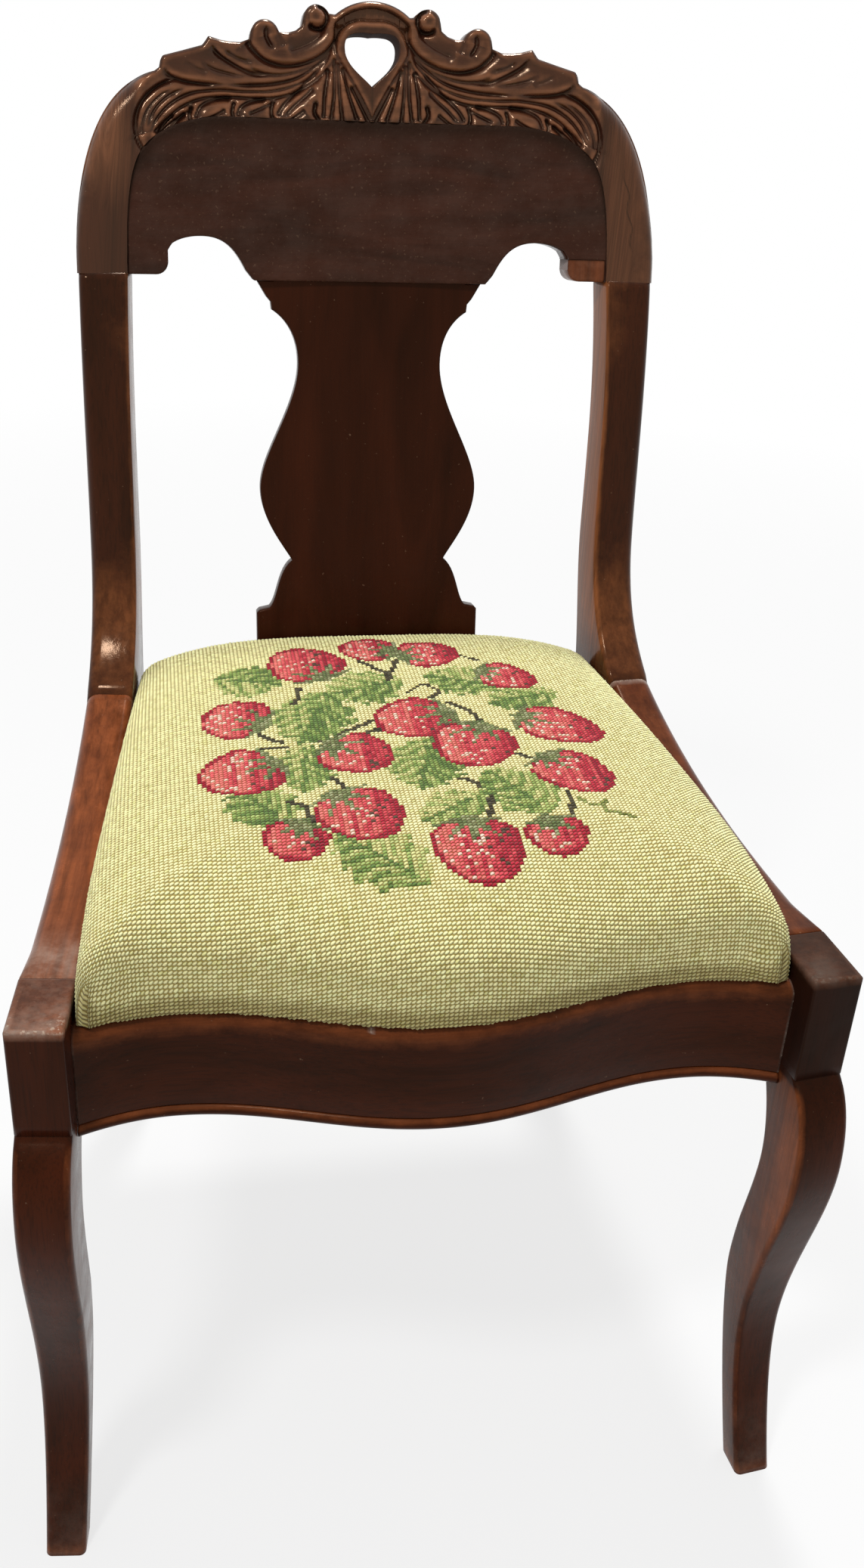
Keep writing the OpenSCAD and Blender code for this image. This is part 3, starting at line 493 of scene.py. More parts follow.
rail_low = RAIL_TOP - RAIL_H
rail = along_rail([(REAR, RAIL_TOP)], arc(9, RAIL_TOP - 9, 9, 90, 180, 12),
                  [(0, 380), (0, 365), (0, 350)], arc(1, rail_low + 1, 1, 180, 270, 4),
                  [(REAR, rail_low)])
x, y, z = np.moveaxis(rail, -1, 0)
behind = y - rail_face(x)
# wear and painted highlight on the rounded top front edge
worn = 0.42 * ramped(z, 379, 391) * ramped(behind, 16, 8)
glue = sum(strong * ramped(way * x, RAIL_HALF - 1.2, RAIL_HALF - 0.4) * (behind < 14)
           for way, strong in ((1, 1.0), (-1, 0.4)))
nick = 0.85 * (np.abs(x + 42.5) < 1.3) * (z > 391.5) * (behind < 4)
dusty = glue + nick
# painted shade: a little darker all over and much darker on the top under the seat, except at the
# glue line and the nick
dark = (1 - dusty) * (0.1 + 0.65 * ramped(behind, 12, 18))
build("front_rail_shaped", "frame", rail, rail[..., [0, 2, 1]] + [0, 150, 0], (worn, dusty, dark),
      ["front_rail"], mahogany)

# Bead under the front rail: a half-round strip that follows the curve and catches the light, its
# top painted lighter as a highlight.
BEAD_H, BEAD_PROUD = 8.0, 2.0
bead_mid = rail_low - BEAD_H / 2
bead = along_rail([(10, rail_low)],
                  arc(BEAD_H / 2 - BEAD_PROUD, bead_mid, BEAD_H / 2, 90, 270, 14),
                  [(10, rail_low - BEAD_H)])
# painted highlight along the bead's top, over a little wear
wear_and_highlight = 0.06 + 0.42 * ramped(bead[..., 2], bead_mid + 0.5, bead_mid + 2.5)
build("front_rail_bead_shaped", "frame", bead, bead[..., [0, 2, 1]] + [0, 260, 0], (wear_and_highlight, 0, 0),
      ["front_rail_bead"], mahogany)

# Splat. A flat vase-shaped board with a moulded foot; its edges are only just eased. It stands
# in the rear rail's groove and runs up behind the lower edge of the crest rail.
RAKE, BACK_SET = math.radians(9.9), 336.0
JOINT_T = (POST_TOP - RAIL_TOP) / math.cos(RAKE)
SPLAT_FRONT, SPLAT_BACK, SPLAT_EASE = 20.7, 32.7, 1.6


def in_back(points):
    """Points (across, behind the back's face, up the rake from the seat rails) of the back."""
    p = np.asarray(points, float)
    y = BACK_SET + p[..., 1] * math.cos(RAKE) + p[..., 2] * math.sin(RAKE)
    z = RAIL_TOP - p[..., 1] * math.sin(RAKE) + p[..., 2] * math.cos(RAKE)
    return np.stack([p[..., 0], y, z], -1)


def inset_loop(loop, step):
    """A loop of points moved inwards along the mean of the normals of its neighbouring sides."""
    tangent = np.roll(loop, -1, 0) - np.roll(loop, 1, 0)
    normal = np.stack([-tangent[:, 1], tangent[:, 0]], -1)
    normal /= np.linalg.norm(normal, axis=1)[:, None]
    area = np.sum(loop[:, 0] * np.roll(loop[:, 1], -1) - loop[:, 1] * np.roll(loop[:, 0], -1))
    return loop + np.sign(area) * step * normal


vase = chain([(80, -13), (80, 88), (78, 90)],
             bezier((71, 91.5), (65, 97), (65, 118), (54.5, 125.5), 12),
             bezier((54.5, 125.5), (62, 138), (76, 155), (76, 176), 20),
             bezier((76, 176), (76, 200), (49, 231.7), (49, 260.7), 24),
             bezier((49, 260.7), (49, 279.7), (58, 290.2), (66.5, 295.2), 14),
             [(67, 300.2), (70, 303.7), (76, 313.7), (66, 313.8), (66, 326.7)])
loop = np.concatenate([vase, (vase * [-1, 1])[::-1]])
layers = [(SPLAT_FRONT + SPLAT_EASE * (1 - math.sin(a)), SPLAT_EASE * (1 - math.cos(a)))
          for a in np.radians([90, 60, 30, 0])]
layers += [(SPLAT_FRONT + SPLAT_BACK - n, d) for n, d in layers[::-1]]
splat = np.stack([np.insert(inset_loop(loop, d), 1, n, axis=1) for n, d in layers])
# painted shade: the splat darkens towards its foot at the rear rail
build("splat_shaped", "frame", in_back(splat), splat[..., [2, 0, 1]] + [330, 60, 0],
      (0, 0, 0.3 * ramped(splat[..., 2], 30, 0)), ["splat"],
      polished_wood("splat_mahogany", (33, 11, 4), (56, 23, 11), (120, 70, 44), 0.24, 5.0, 0.16))

# Crest rail. One curved board: plain rounded shoulders run down to ears, and between them stand a
# hooded heart, two pairs of scrolls and long acanthus leaves, cut deep with a veining tool.
CREST_HALF, CREST_T, HOLLOW = 191.7, 26.0, 16.0
CREST_R = (CREST_HALF ** 2 + HOLLOW ** 2) / (2 * HOLLOW)
HOLE_HALF, HOLE_WIDEST = 18, 139
PANEL_HALF, PANEL_SINK = 159.7, 3.0
SPLICE_LEFT, SPLICE_RIGHT, SPLICE_H = 133.71, 158.71, 14.0
EAR_CUTS = [133.69, 133.73, 158.69, 158.73]
CELL, CELL_LOW, VEIN_REACH = 0.4, -4.0, 14


def crest_place(x, behind, up):
    """Points of the crest rail: across, behind its hollow front face, and up from its joint. The
    face lies on a circle in plan, so a depth is measured along that circle's radius."""
    out = HOLLOW - CREST_R + np.sqrt((CREST_R + behind) ** 2 - x ** 2)
    return in_back(np.stack(np.broadcast_arrays(x, out, up + JOINT_T), -1))


def smooth_line(points, steps=8):
    """A smooth line through the points: between two of them a cubic whose end slopes are half
    the chord across each point."""
    p = np.array(points, float)
    p = np.concatenate([[2 * p[0] - p[1]], p, [2 * p[-1] - p[-2]]])
    t = np.linspace(0, 1, steps, endpoint=False)[:, None]
    runs = []
    for a, b, c, d in zip(p, p[1:], p[2:], p[3:]):
        m0, m1 = (c - a) / 2, (d - b) / 2
        runs.append((2 * t ** 3 - 3 * t ** 2 + 1) * b + (t ** 3 - 2 * t ** 2 + t) * m0
                    + (3 * t ** 2 - 2 * t ** 3) * c + (t ** 3 - t ** 2) * m1)
    return np.concatenate(runs + [p[-2:-1]])


def step(value, low, high):
    """A smooth step: 3t^2 - 2t^3 of the clamped share of the way from low to high."""
    t = ramped(value, low, high)
    return t * t * (3 - 2 * t)


crest_top = chain(arc(0, 128, 38, 90, 51, 16), arc(35.5, 154.5, 8.5, 155, 0, 16),
                  [(44.3, 151), (49, 147.5), (54, 146), (59.4, 146)], arc(68.5, 144, 9, 165, 0, 16),
                  [(77.9, 141.5), (84, 139.2), (91, 139.2), (97, 140), (104, 141.8), (106, 139),
                   (108, 136.5), (120, 133), (132.5, 129.5), (134.2, 127), (135, 122.8)],
                  bezier((138, 120.5), (174.7, 112), (191.7, 62), (191.7, 0), 60), [(191.7, -12)])
crest_low = chain([(0, -3), (78, -3)], bezier((83, 3), (90.1, 17), (96.7, 24), (111.9, 24), 16),
                  bezier((111.9, 24), (119, 24), (126.1, 22.5), (131.2, 19), 10),
                  [(133.7, 15), (133.72, 8)], arc(141.7, 8, 8, 180, 270, 10), [(191.7, 0)])
panel_line = chain([(0, 96), (91.7, 96)],
                   bezier((91.7, 96), (119.7, 96), (141.7, 86), (149.7, 72)),
                   bezier((149.7, 72), (157.7, 58), (PANEL_HALF, 30), (PANEL_HALF, -1)))
heart_low = chain(bezier((0, 115.8), (5, 121.5), (16, 127), (17.8, 136), 20),
                  [(HOLE_HALF, HOLE_WIDEST)])
heart_high = chain(bezier((0, 147.2), (3, 147.8), (8, 147.8), (11.5, 147.2), 10),
                   bezier((11.5, 147.2), (15.5, 146.4), (18, 144), (HOLE_HALF, HOLE_WIDEST), 16))
frame_line = smooth_line([(0, 154), (9, 154), (17, 150.5), (22, 144), (23.5, 137), (20, 130),
                          (14, 121), (7, 110), (0, 97.5)])

gx, gv = np.meshgrid(np.arange(0, 193, CELL), np.arange(CELL_LOW, 170, CELL), indexing="ij")
relief = np.zeros_like(gx)


def from_line(line, x, v):
    """For points in a plane: the distance from the line, the side they lie on (1 towards the top
    or the outside, -1 the other) and how far along the line they are, from 0 to 1."""
    best = np.full(x.shape, 1e9)
    side_of, share = np.ones(x.shape), np.zeros(x.shape)
    for k, (a, b) in enumerate(zip(line, line[1:])):
        run = b - a
        t = np.clip(((x - a[0]) * run[0] + (v - a[1]) * run[1]) / (run @ run), 0, 1)
        dx, dv = x - a[0] - t * run[0], v - a[1] - t * run[1]
        d = np.hypot(dx, dv)
        near = d < best
        up = np.array([-run[1], run[0]])
        up = up * (1 if up @ [0.3, 1] > 0 else -1)
        best[near] = d[near]
        side_of[near] = np.sign(dx * up[0] + dv * up[1] + 1e-9)[near]
        share[near] = ((k + t) / (len(line) - 1))[near]
    return best, side_of, share


def vein(points, depth, above=1.2, below=1.2, tail=0.25):
    """Cut a vein along a smooth line through the points. It is deepest on the line and fades
    with exp(-distance / width), the widths differing above and below it, and it runs out at both
    ends."""
    line = smooth_line(points)
    (i0, j0), (i1, j1) = (np.clip((corner - [0, CELL_LOW]) / CELL, 0, gx.shape).astype(int)
                          for corner in (line.min(0) - VEIN_REACH, line.max(0) + VEIN_REACH))
    window = np.s_[i0:i1, j0:j1]
    away, side_of, share = from_line(line, gx[window], gv[window])
    fade = step(share, 0, tail) * step(1 - share, 0, tail) if tail else 1.0
    width = np.where(side_of > 0, above, 1.45 * below)
    relief[window] -= depth * fade * np.exp(-away / width) * step(VEIN_REACH - away, 0, 5)


# the cove behind the heart's frame, and the leaves a little below the frame's face
from_frame = from_line(frame_line, gx, gv)[0]
inside_frame = np.zeros(gx.shape, bool)
for a, b in zip(frame_line, frame_line[1:]):
    crossed = (gv < a[1]) != (gv < b[1])
    inside_frame ^= crossed & (gx < a[0] + (gv - a[1]) / (b[1] - a[1] + 1e-12) * (b[0] - a[0]))
hood = step(35.2 - np.hypot(gx, gv - 128), 0, 1.2) * step(gv, 141, 146) * step(25 - gx, 0, 2)
cove = hood * np.where(inside_frame, 0, step(from_frame, 0, 1.2))
relief -= (5.4 + 0.5 * np.sin(gx * 2.3) * np.sin(gx * 0.9 + 1)) * cove
relief -= 2.2 * np.where(inside_frame, 0, np.exp(-from_frame / 1.4))
relief -= 1.1 * np.where(inside_frame, step(1.8 - from_frame, 0, 1.8), 0)
relief -= step(gx, 18, 27) * step(148 - gx, 0, 6)
for cut, *lines in (
        # the ring round each scroll's eye, and the two rolled bands
        ((5.5, 1.0, 1.0, 0.12), arc(35.5, 155.5, 6.4, 80, 330, 14)),
        ((3.6, 5.5, 2.4, 0.2), [(30.5, 153), (33, 146.5), (40, 141), (48, 137.5), (55, 135.5)]),
        ((5.2, 1.1, 2.4, 0.06), [(23.6, 153), (24, 144), (30, 136), (42, 129.5), (56, 127),
                                 (68, 129.5), (76, 135.5), (80, 141)]),
        ((3.6, 1.3, 1.3), [(66.8, 150), (68, 145), (66, 140), (62.5, 135.5)]),
        ((1.8, 2.2, 1.6), [(60.5, 146), (58.5, 141), (57, 137)]),
        # the upper leaf with its two tips
        ((3.0, 1.1, 2.0), [(32, 131), (46, 124.6), (60, 121.6), (72, 122.4), (80, 126.5)]),
        ((4.0, 1.1, 2.8), [(64, 120.2), (78, 122), (90, 127), (99, 132.5), (102.5, 137.5)]),
        ((2.2, 1.0, 1.6), [(75, 127.5), (86, 130), (95, 134.5)]),
        ((2.2, 0.9, 1.6), [(80, 119.2), (92, 121), (101, 123), (110, 127)]),
        ((1.4, 0.8, 1.4), [(104, 121), (112, 123), (120, 127)]),
        ((4.6, 0.9, 2.2), [(133, 123.5), (129.5, 119), (124, 116.6), (117, 115.2), (105, 114.4),
                           (92, 114.4)]),
        ((4.6, 1.4, 1.4), [(25, 139), (31, 131.5), (46, 121.2), (62, 116.4), (80, 114.6),
                           (98, 114.2)]),
        # the long flutes of the midrib and the border round the leaf's end
        ((3.6, 1.3, 1.6, 0.12), [(24.6, 137), (32, 127.5), (45, 117.8), (62, 112.4), (80, 111),
                                 (100, 111), (116, 108.6), (129, 102), (138, 92.5), (143, 82)]),
        ((4.2, 1.2, 2.0, 0.1), [(24.4, 133), (30.5, 124.5), (43, 115), (60, 108.6), (78, 107.4),
                                (98, 107.4), (112, 105), (125, 98.5), (134.5, 89), (140.5, 78.5)]),
        ((3.2, 1.2, 1.6), [(118, 112), (130, 106.5), (139, 98), (144.5, 86)]),
        ((2.6, 1.1, 1.4), [(125, 111.5), (135, 106.5), (143, 98), (147.5, 87), (146.5, 79)]),
        ((3.0, 1.0, 1.6), [(112, 101.5), (122, 95.5), (130.5, 86.5), (134, 82)]),
        ((4.6, 1.2, 2.0, 0.15), [(123, 117.5), (134, 113.5), (144, 106), (150, 96), (151, 85),
                                 (147.5, 76), (143, 72)]),
        # the lower lobes, each closed by a notch on the panel's edge
        ((5.4, 1.3, 1.0, 0), [(116, 100), (117, 95), (115, 89)], [(89, 103.5), (90, 98), (88, 92)],
         [(64, 105), (65, 99), (62.5, 93)], [(36.5, 105), (37, 100), (33, 94.5)]),
        ((3.8, 1.1, 2.6, 0.12), [(114.5, 93), (110, 101.5), (100.5, 106), (89, 107.6)],
         [(87.5, 95.5), (85, 101.5), (78, 105.5), (67, 107.8)],
         [(62.5, 96.5), (57, 104.5), (45.5, 115), (33.5, 127)], [(119, 98), (129, 91), (138, 83)]),
        ((3.0, 0.8, 1.6, 0.16), [(109.5, 92.5), (101, 96.2), (93.5, 100.6)],
         [(80.5, 97.6), (71, 101.9), (64.5, 105)], [(57.5, 96.4), (51, 103.3), (42.5, 110.5),
                                                    (37, 116)],
         [(55, 93.5), (48, 98.5), (43, 102)], [(126, 96.6), (134.5, 91), (140.5, 84)]),
        # the steep flutes by the heart
        ((4.4, 1.5, 1.1, 0.07), [(24.2, 134), (24.4, 112), (26.8, 95)],
         [(21.8, 131), (21, 112), (19.2, 94)], [(19.8, 128), (15.2, 112.4), (9, 95)],
         [(14, 117), (8, 106), (1.8, 95)], [(27.5, 127), (30.4, 111.8), (31.6, 96)])):
    for line in lines:
        vein(line, *cut)
relief += 1.6 * np.sqrt(np.clip(1 - (np.hypot(gx - 35.5, gv - 155.5) / 5.2) ** 2, 0, 1))

# round the board over along its upper outline, little on the carving and much on the shoulders
rim = from_line(crest_top, gx, gv)[0]
round_r = 3.0 + (4 + 6 * step(gv, 10, 70)) * step(gx, 138, 156)
relief -= round_r - np.sqrt(round_r ** 2 - np.clip(round_r - rim, 0, round_r - 0.2) ** 2)
relief = np.clip(relief, -9.0, 0.0)


def box_blur(values, reach):
    """Mean over a square of cells on each side, from running sums."""
    width = 2 * reach + 1
    for axis in (0, 1):
        pads = [(reach + 1, reach) if a == axis else (0, 0) for a in (0, 1)]
        total = np.cumsum(np.pad(values, pads, "edge"), axis)
        ends = range(total.shape[axis] - width)
        values = (np.take(total, [k + width for k in ends], axis)
                  - np.take(total, ends, axis)) / width
    return values


def between(table, i, j):
    """A table's values between its cells, by the two-way straight-line mean."""
    i, j = (np.clip(k, 0, n - 1.001) for k, n in zip((i, j), table.shape))
    a, b = i.astype(int), j.astype(int)
    i, j = i - a, j - b
    return ((1 - i) * (1 - j) * table[a, b] + i * (1 - j) * table[a + 1, b]
            + (1 - i) * j * table[a, b + 1] + i * j * table[a + 1, b + 1])


def sampled(values, x, v):
    """The carving's cell values at places on the rail."""
    return between(values, np.abs(x) / CELL, (v - CELL_LOW) / CELL)


def lower_edge(x):
    """Height of the rail's lower edge, which the splice cuts higher."""
    cut = (x > SPLICE_LEFT) & (x < SPLICE_RIGHT)
    return np.where(cut, SPLICE_H, np.interp(np.abs(x), *crest_low.T))


hollow_of = box_blur(box_blur(relief, 5), 5) - relief
half_x = np.unique(np.r_[np.linspace(0, CREST_HALF - 0.4, 236), HOLE_HALF, 17.9, 17.7, 17.3, 16.8,
                         EAR_CUTS, CREST_HALF - 0.15, CREST_HALF])
xs = np.r_[-half_x[:0:-1], half_x]
ax = np.abs(xs)
low = lower_edge(xs)
top = np.maximum(np.interp(ax, *crest_top.T), low + 0.3)
outside_panel = ax > PANEL_HALF
ledge = np.maximum(np.where(outside_panel, low, np.interp(ax, *panel_line.T)), low + 0.02)
even_x = np.arange(0, CREST_HALF, 0.5)
even_top = np.pad(np.interp(even_x, *crest_top.T), 8, "edge")
calm = np.interp(ax, even_x, np.convolve(even_top, np.ones(17) / 17, "valid"))
calm = top + (calm - top) * step(CREST_HALF - ax, 8, 30)
blend_out = step(ax, 18, 70)
split = HOLE_WIDEST * (1 - blend_out) + (ledge + 0.6 * (calm - ledge)) * blend_out
spread = 0.3 * step(ax, 17.9, 20) * ramped(calm - ledge, 0, 4)
inside = ax < HOLE_HALF - 0.01
hole_low = np.where(inside, np.interp(ax, *heart_low.T), split - spread)
hole_high = np.where(inside, np.interp(ax, *heart_high.T), split + spread)

# columns of points: the panel's field, the carving below and above the heart, and the back
FIELD, LOWER, UPPER, BACK_UP, BACK_LOW = 8, 56, 44, 8, 14
FRONT = FIELD + LOWER + UPPER
low, ledge, hole_low, hole_high, calm, top = (
    line[:, None] for line in (low, ledge, hole_low, hole_high, calm, top))
rise = np.linspace(0, 1, UPPER)
lower = np.maximum(np.linspace(0, 1, LOWER), 0.006 * outside_panel[:, None])
up = np.concatenate([low + (ledge - low) * np.linspace(0, 1, FIELD),
                     ledge + (hole_low - ledge) * lower,
                     hole_high + (calm - hole_high) * rise + (top - calm) * rise ** 5,
                     hole_high + (top - hole_high) * np.linspace(1, 0, BACK_UP),
                     low + (hole_low - low) * np.linspace(1, 0, BACK_LOW)], 1)
n_cols, m = up.shape
x = np.broadcast_to(xs[:, None], up.shape)
on_front = np.arange(m) < FRONT
in_field = (np.arange(m) < FIELD) & (np.abs(x) < PANEL_HALF)
from_top = np.minimum(top - up, CREST_HALF - np.abs(x) + 0.02)
back = CREST_T - np.clip(2.2 - from_top, 0, 2.2) ** 2 / 2.6
behind = np.where(on_front, np.where(in_field, PANEL_SINK, -sampled(relief, x, up)), back)
f_low, f_high = FIELD + LOWER - 1, FIELD + LOWER
b_high, b_low = FRONT + BACK_UP - 1, FRONT + BACK_UP
open_column = inside[:-1] | inside[1:]
faces = [f for f in tube_faces(n_cols, m)
         if not (len(f) == 4 and f[0] % m in (f_low, b_high) and open_column[f[0] // m])]
skin = len(faces)
for col in np.flatnonzero(open_column):
    a, b = int(col) * m, int(col + 1) * m
    faces += [[a + f_low, a + b_low, b + b_low, b + f_low],
              [b + f_high, b + b_high, a + b_high, a + f_high]]
    if not inside[col]:
        faces.append([a + f_low, a + f_high, a + b_high, a + b_low])
    if not inside[col + 1]:
        faces.append([b + f_high, b + f_low, b + b_low, b + b_high])
deep = sampled(hollow_of, x, up)
carved = on_front * step(up, 64, 76) * (1 - step(np.abs(x), 148, 153))
in_hood = sampled(cove, x, up)
# grime and painted shade: the carving darkens in its grooves and hollows, less in the hood's cove
dark = carved * np.minimum(ramped(deep, 0.3, 1.9), 0.85) * (1 - 0.75 * in_hood)
# wear and painted highlights: the ridges are lighter; the whole carving a little, and the hood's
# cove more
worn = carved * (np.minimum(ramped(-deep, 0.05, 1.05), 0.6) + 0.1 + 0.25 * in_hood)
worn = worn + 0.3 * step(x, 148, 162) * step(116 - up, 0, 30)
# painted highlight: a lighter patch on the left shoulder
worn = worn + 0.55 * step(-x, 146, 166) * np.exp(-((up - 82) / 34) ** 2)
seam = np.exp(-((x + 0.3) / 0.5) ** 2) * (up < 118)
crack = np.exp(-((x - 176 + 0.16 * (up - 20) + 1.2 * np.sin(up * 0.31)) / 0.45) ** 2)
crack = crack * step(up, 18, 26) * step(80 - up, 0, 14)
dark = np.clip(dark + 0.8 * seam * carved + 0.9 * crack, 0, 1)
veer = np.pi / 2 * step(np.abs(x), 148, 178)
grain = np.stack([x * np.cos(veer) + up * np.sin(veer), up * np.cos(veer) - x * np.sin(veer),
                  behind], -1) + [0, 420, 0]
carved_tones = (34, 15, 9), (62, 31, 20), (138, 88, 60)
piece = build("crest_rail_carved", "frame", crest_place(x, behind, up), grain, (worn, 0, dark),
              ["crest_rail"], polished_wood("carved_mahogany", *carved_tones, 0.16, streaky=0.3,
                                            specular=0.42), faces=faces, flat_from=skin)
piece.data.materials.append(polished_wood("heart_wall", *carved_tones, 0.7, specular=0.05))
piece.data.materials.append(mahogany)
piece.data.polygons.foreach_set("material_index", [
    1 if k >= skin else 2 * int(len(f) == 4 and f[0] % m >= FRONT) for k, f in enumerate(faces)])

# Veneered panel. A thin sheet let into the crest rail, matt and purplish brown, scratched and
# speckled, the pale specks painting both its whitish crackle and the glints on it, with a painted
# shadow as a darker band under the carving.
PANEL_FRONT = 1.8
x = np.unique(np.r_[np.linspace(-159.6, 159.6, 200), EAR_CUTS, -133.69, -133.73])[:, None]
low = lower_edge(x)
high = np.maximum(np.interp(np.abs(x), *panel_line.T), low + 0.1)
share = np.r_[0, np.linspace(0.004, 0.996, 40), 1]
behind = np.r_[PANEL_FRONT + 0.35 * ((share < 0.002) | (share > 0.998)),
               np.full(len(share[::-8]), PANEL_SINK - 0.05)]
up = low + (high - low) * np.r_[share, share[::-8]]
# painted shadow of the carving: a dark band along the panel's top
under = np.exp(-((high - up) / 9) ** 2)
build("crest_panel_veneered", "frame", crest_place(x, behind, up),
      np.stack([x + 0 * up, up, 0 * up], -1) + [0, 640, 0], (0, 0.05, 0.75 * under),
      ["crest_panel"], polished_wood("panel_veneer", (32, 12, 8), (60, 31, 23), (120, 90, 76),
                                     0.3, 9.0, 0.15, 1.0, 0.16, 0.64))

# Splice in the right ear of the crest rail: a patch of lighter wood let in and glued long ago,
# its corner rubbed round.
x = np.linspace(SPLICE_LEFT + 0.05, SPLICE_RIGHT - 0.05, 46)[:, None]
low = np.interp(x, *crest_low.T)
share = np.r_[0, 0.01, np.linspace(0.04, 0.96, 18), 0.99, 1]
up = low + (SPLICE_H - 0.06 - low) * np.r_[share, share[::-2]]
eased = np.clip(1.6 - np.minimum(up - low, x - x[0]), 0, 1.6) ** 2 / 2.2
on_front = np.arange(up.shape[1]) < len(share)
seam = ramped(up, SPLICE_H - 1, SPLICE_H - 0.1) + ramped(x, 157.7, 158.6)
build("ear_splice", "frame",
      crest_place(x, np.where(on_front, PANEL_FRONT + eased, CREST_T - eased), up),
      np.stack([up, x + 0 * up, 0 * up], -1) + [40, 480, 0],
      (0.5, 0.1, 0.8 * np.clip(seam, 0, 1)), ["right_ear_splice"], mahogany)

# Stuffing. A pad of horsehair under the cover, crowned in the middle and thin towards the edges.
SEAT_Z, SEAT_REAR, CROWN = 397.3, 353.7, 74.0
MID_Y = (RAIL_MID + SEAT_REAR) / 2
EDGE_FRONT, EDGE_SIDE, EDGE_REAR, SEAT_GAP, TURN_R = 15.0, 46.0, 27.0, 2.0, 7


def side_x(y):
    """Half the width of the slip seat at a depth."""
    return inner_x(y) - SEAT_GAP


def edge_height(x, y):
    """Height of the cushion's edge: low at the front, rising behind it to the side height with
    1 - exp(-distance / 45), and bowed up along the rear with 1 - (share of the half width)^4."""
    behind = np.maximum(y - rail_face(np.minimum(np.abs(x), RAIL_HALF)), 0)
    late = np.clip((y - MID_Y) / MID_Y, 0, None)
    rear = EDGE_REAR * (1 - np.clip(np.abs(x) / side_x(y), 0, 1) ** 4)
    return (EDGE_FRONT + (EDGE_SIDE - EDGE_FRONT) * (1 - np.exp(-behind / 45)) - 8 * late ** 2
            + np.where(y > MID_Y, rear, 0))


front_corner = side_x(21.0) - TURN_R
rear_corner = side_x(SEAT_REAR - TURN_R) - TURN_R
fx = np.linspace(0, front_corner, 200)
outline = chain(np.stack([fx, rail_face(fx)], -1),
                arc(front_corner, rail_face(front_corner) + TURN_R, TURN_R, -60, 0, 8),
                [(side_x(y), y) for y in np.linspace(26, SEAT_REAR - 8, 120)],
                arc(rear_corner, SEAT_REAR - TURN_R, TURN_R, 0, 90, 10),
                [(x, SEAT_REAR) for x in np.linspace(rear_corner, 0, 60)])
outline = np.concatenate([outline, (outline * [-1, 1])[-2:0:-1]])
bearing = np.unwrap(np.arctan2(outline[:, 1] - MID_Y, outline[:, 0]))
reach = np.hypot(outline[:, 0], outline[:, 1] - MID_Y)
rim_height = edge_height(*outline.T)


def on_outline(x, y, *values):
    """The outline's values in the direction of each plan place from the seat's middle."""
    angle = bearing[0] + np.mod(np.arctan2(y - MID_Y, x) - bearing[0], 2 * np.pi)
    order = np.r_[bearing, bearing[0] + 2 * np.pi]
    return [np.interp(angle, order, np.r_[v, v[0]]) for v in values]


def cushion(x, y):
    """Height of the cushion's surface over the plan: from the edge height to the crown with
    sqrt(1 - share^4) of the share of the way from the middle out to the edge."""
    out, edge = on_outline(x, y, reach, rim_height)
    share = np.clip(np.hypot(x, y - MID_Y) / out, 0, 1)
    return edge + (CROWN - edge) * np.sqrt(1 - share ** 4)


def leaned(points):
    """Cushion points, heights counted from the rails, leant back with the rake to the rear."""
    p = np.array(points, float)
    p[..., 1] += ramped(p[..., 1], MID_Y, SEAT_REAR) * p[..., 2] * math.tan(RAKE)
    p[..., 2] += SEAT_Z
    return p


def drawn_in(plan, share):
    """Plan points moved towards the seat's middle, to a share of their distance."""
    return plan * share + [0, MID_Y * (1 - share)]


def plain(name, colour, rough, metal=0.0, scale=120.0, specular=0.3, stretch=1.0):
    """A plain material with a faint mottle of its own colour, which may be drawn out across the
    chair into streaks."""
    material = blank(name)
    colour = linear(*colour)
    place = node("TexCoord").outputs["Object"]
    place = node("Mapping", {"Vector": place, "Scale": (stretch, 1, 1)}).outputs[0]
    dark = [0.6 * c for c in colour[:3]] + [1.0]
    base = mixed(ramp(noise(place, scale, 4.0), 0.3, 0.7), colour, dark)
    surface(base, rough, specular, Metallic=metal)
    return material


horsehair = plain("horsehair", (70, 56, 44), 0.95, scale=500.0)
plans = [drawn_in(outline[::4], share) for share in (0.2, 0.4, 0.6, 0.75, 0.85, 0.92)]
pad = np.stack([np.c_[p, cushion(*p.T) - 5] for p in plans]
               + [np.c_[plans[k], np.full(len(plans[k]), z)] for k, z in ((-1, 24.0), (2, 21.6))])
piece = build("stuffing_pad", "seat", leaned(pad), pad, (0, 0, 0), ["stuffing"], horsehair)

# Needlepoint cover. One canvas worked in tent stitch, ten stitches to the inch: a spray of
# strawberries on a pale yellow-green ground. It rolls over the edges and is turned under.
STITCH = 2.6
HALF = STITCH / 2
SIDE_ROLL, FRONT_ROLL, REAR_ROLL, CORNER = 40.0, 80.0, 30.0, 6.5
TURN_UNDER = 22.0
SPARE_SIDE, SPARE_FRONT, SPARE_REAR = 52, 32, 66
EASE_FULL, EASE_END, EASE_TIMES = 26, 64, 7


def roll_of(roll, inwards, places):
    """For edges at several places: the length of the cushion's surface from roll inside the
    edge to the edge, and the distance from the edge at equal steps of that length. Inwards gives
    the plan at a distance inside the edge."""
    d = roll * np.linspace(1, 0, 160) ** 2
    x, y = np.broadcast_arrays(*inwards(places[:, None], d))
    steps = np.linalg.norm(np.diff(np.stack([x, y, cushion(x, y)], -1), axis=1), axis=2)
    length = np.concatenate([np.zeros((len(places), 1)), np.cumsum(steps, 1)], 1)
    total = length[:, -1]
    table = np.stack([np.interp(np.linspace(0, t, 60), l, d) for t, l in zip(total, length)])
    return total, table


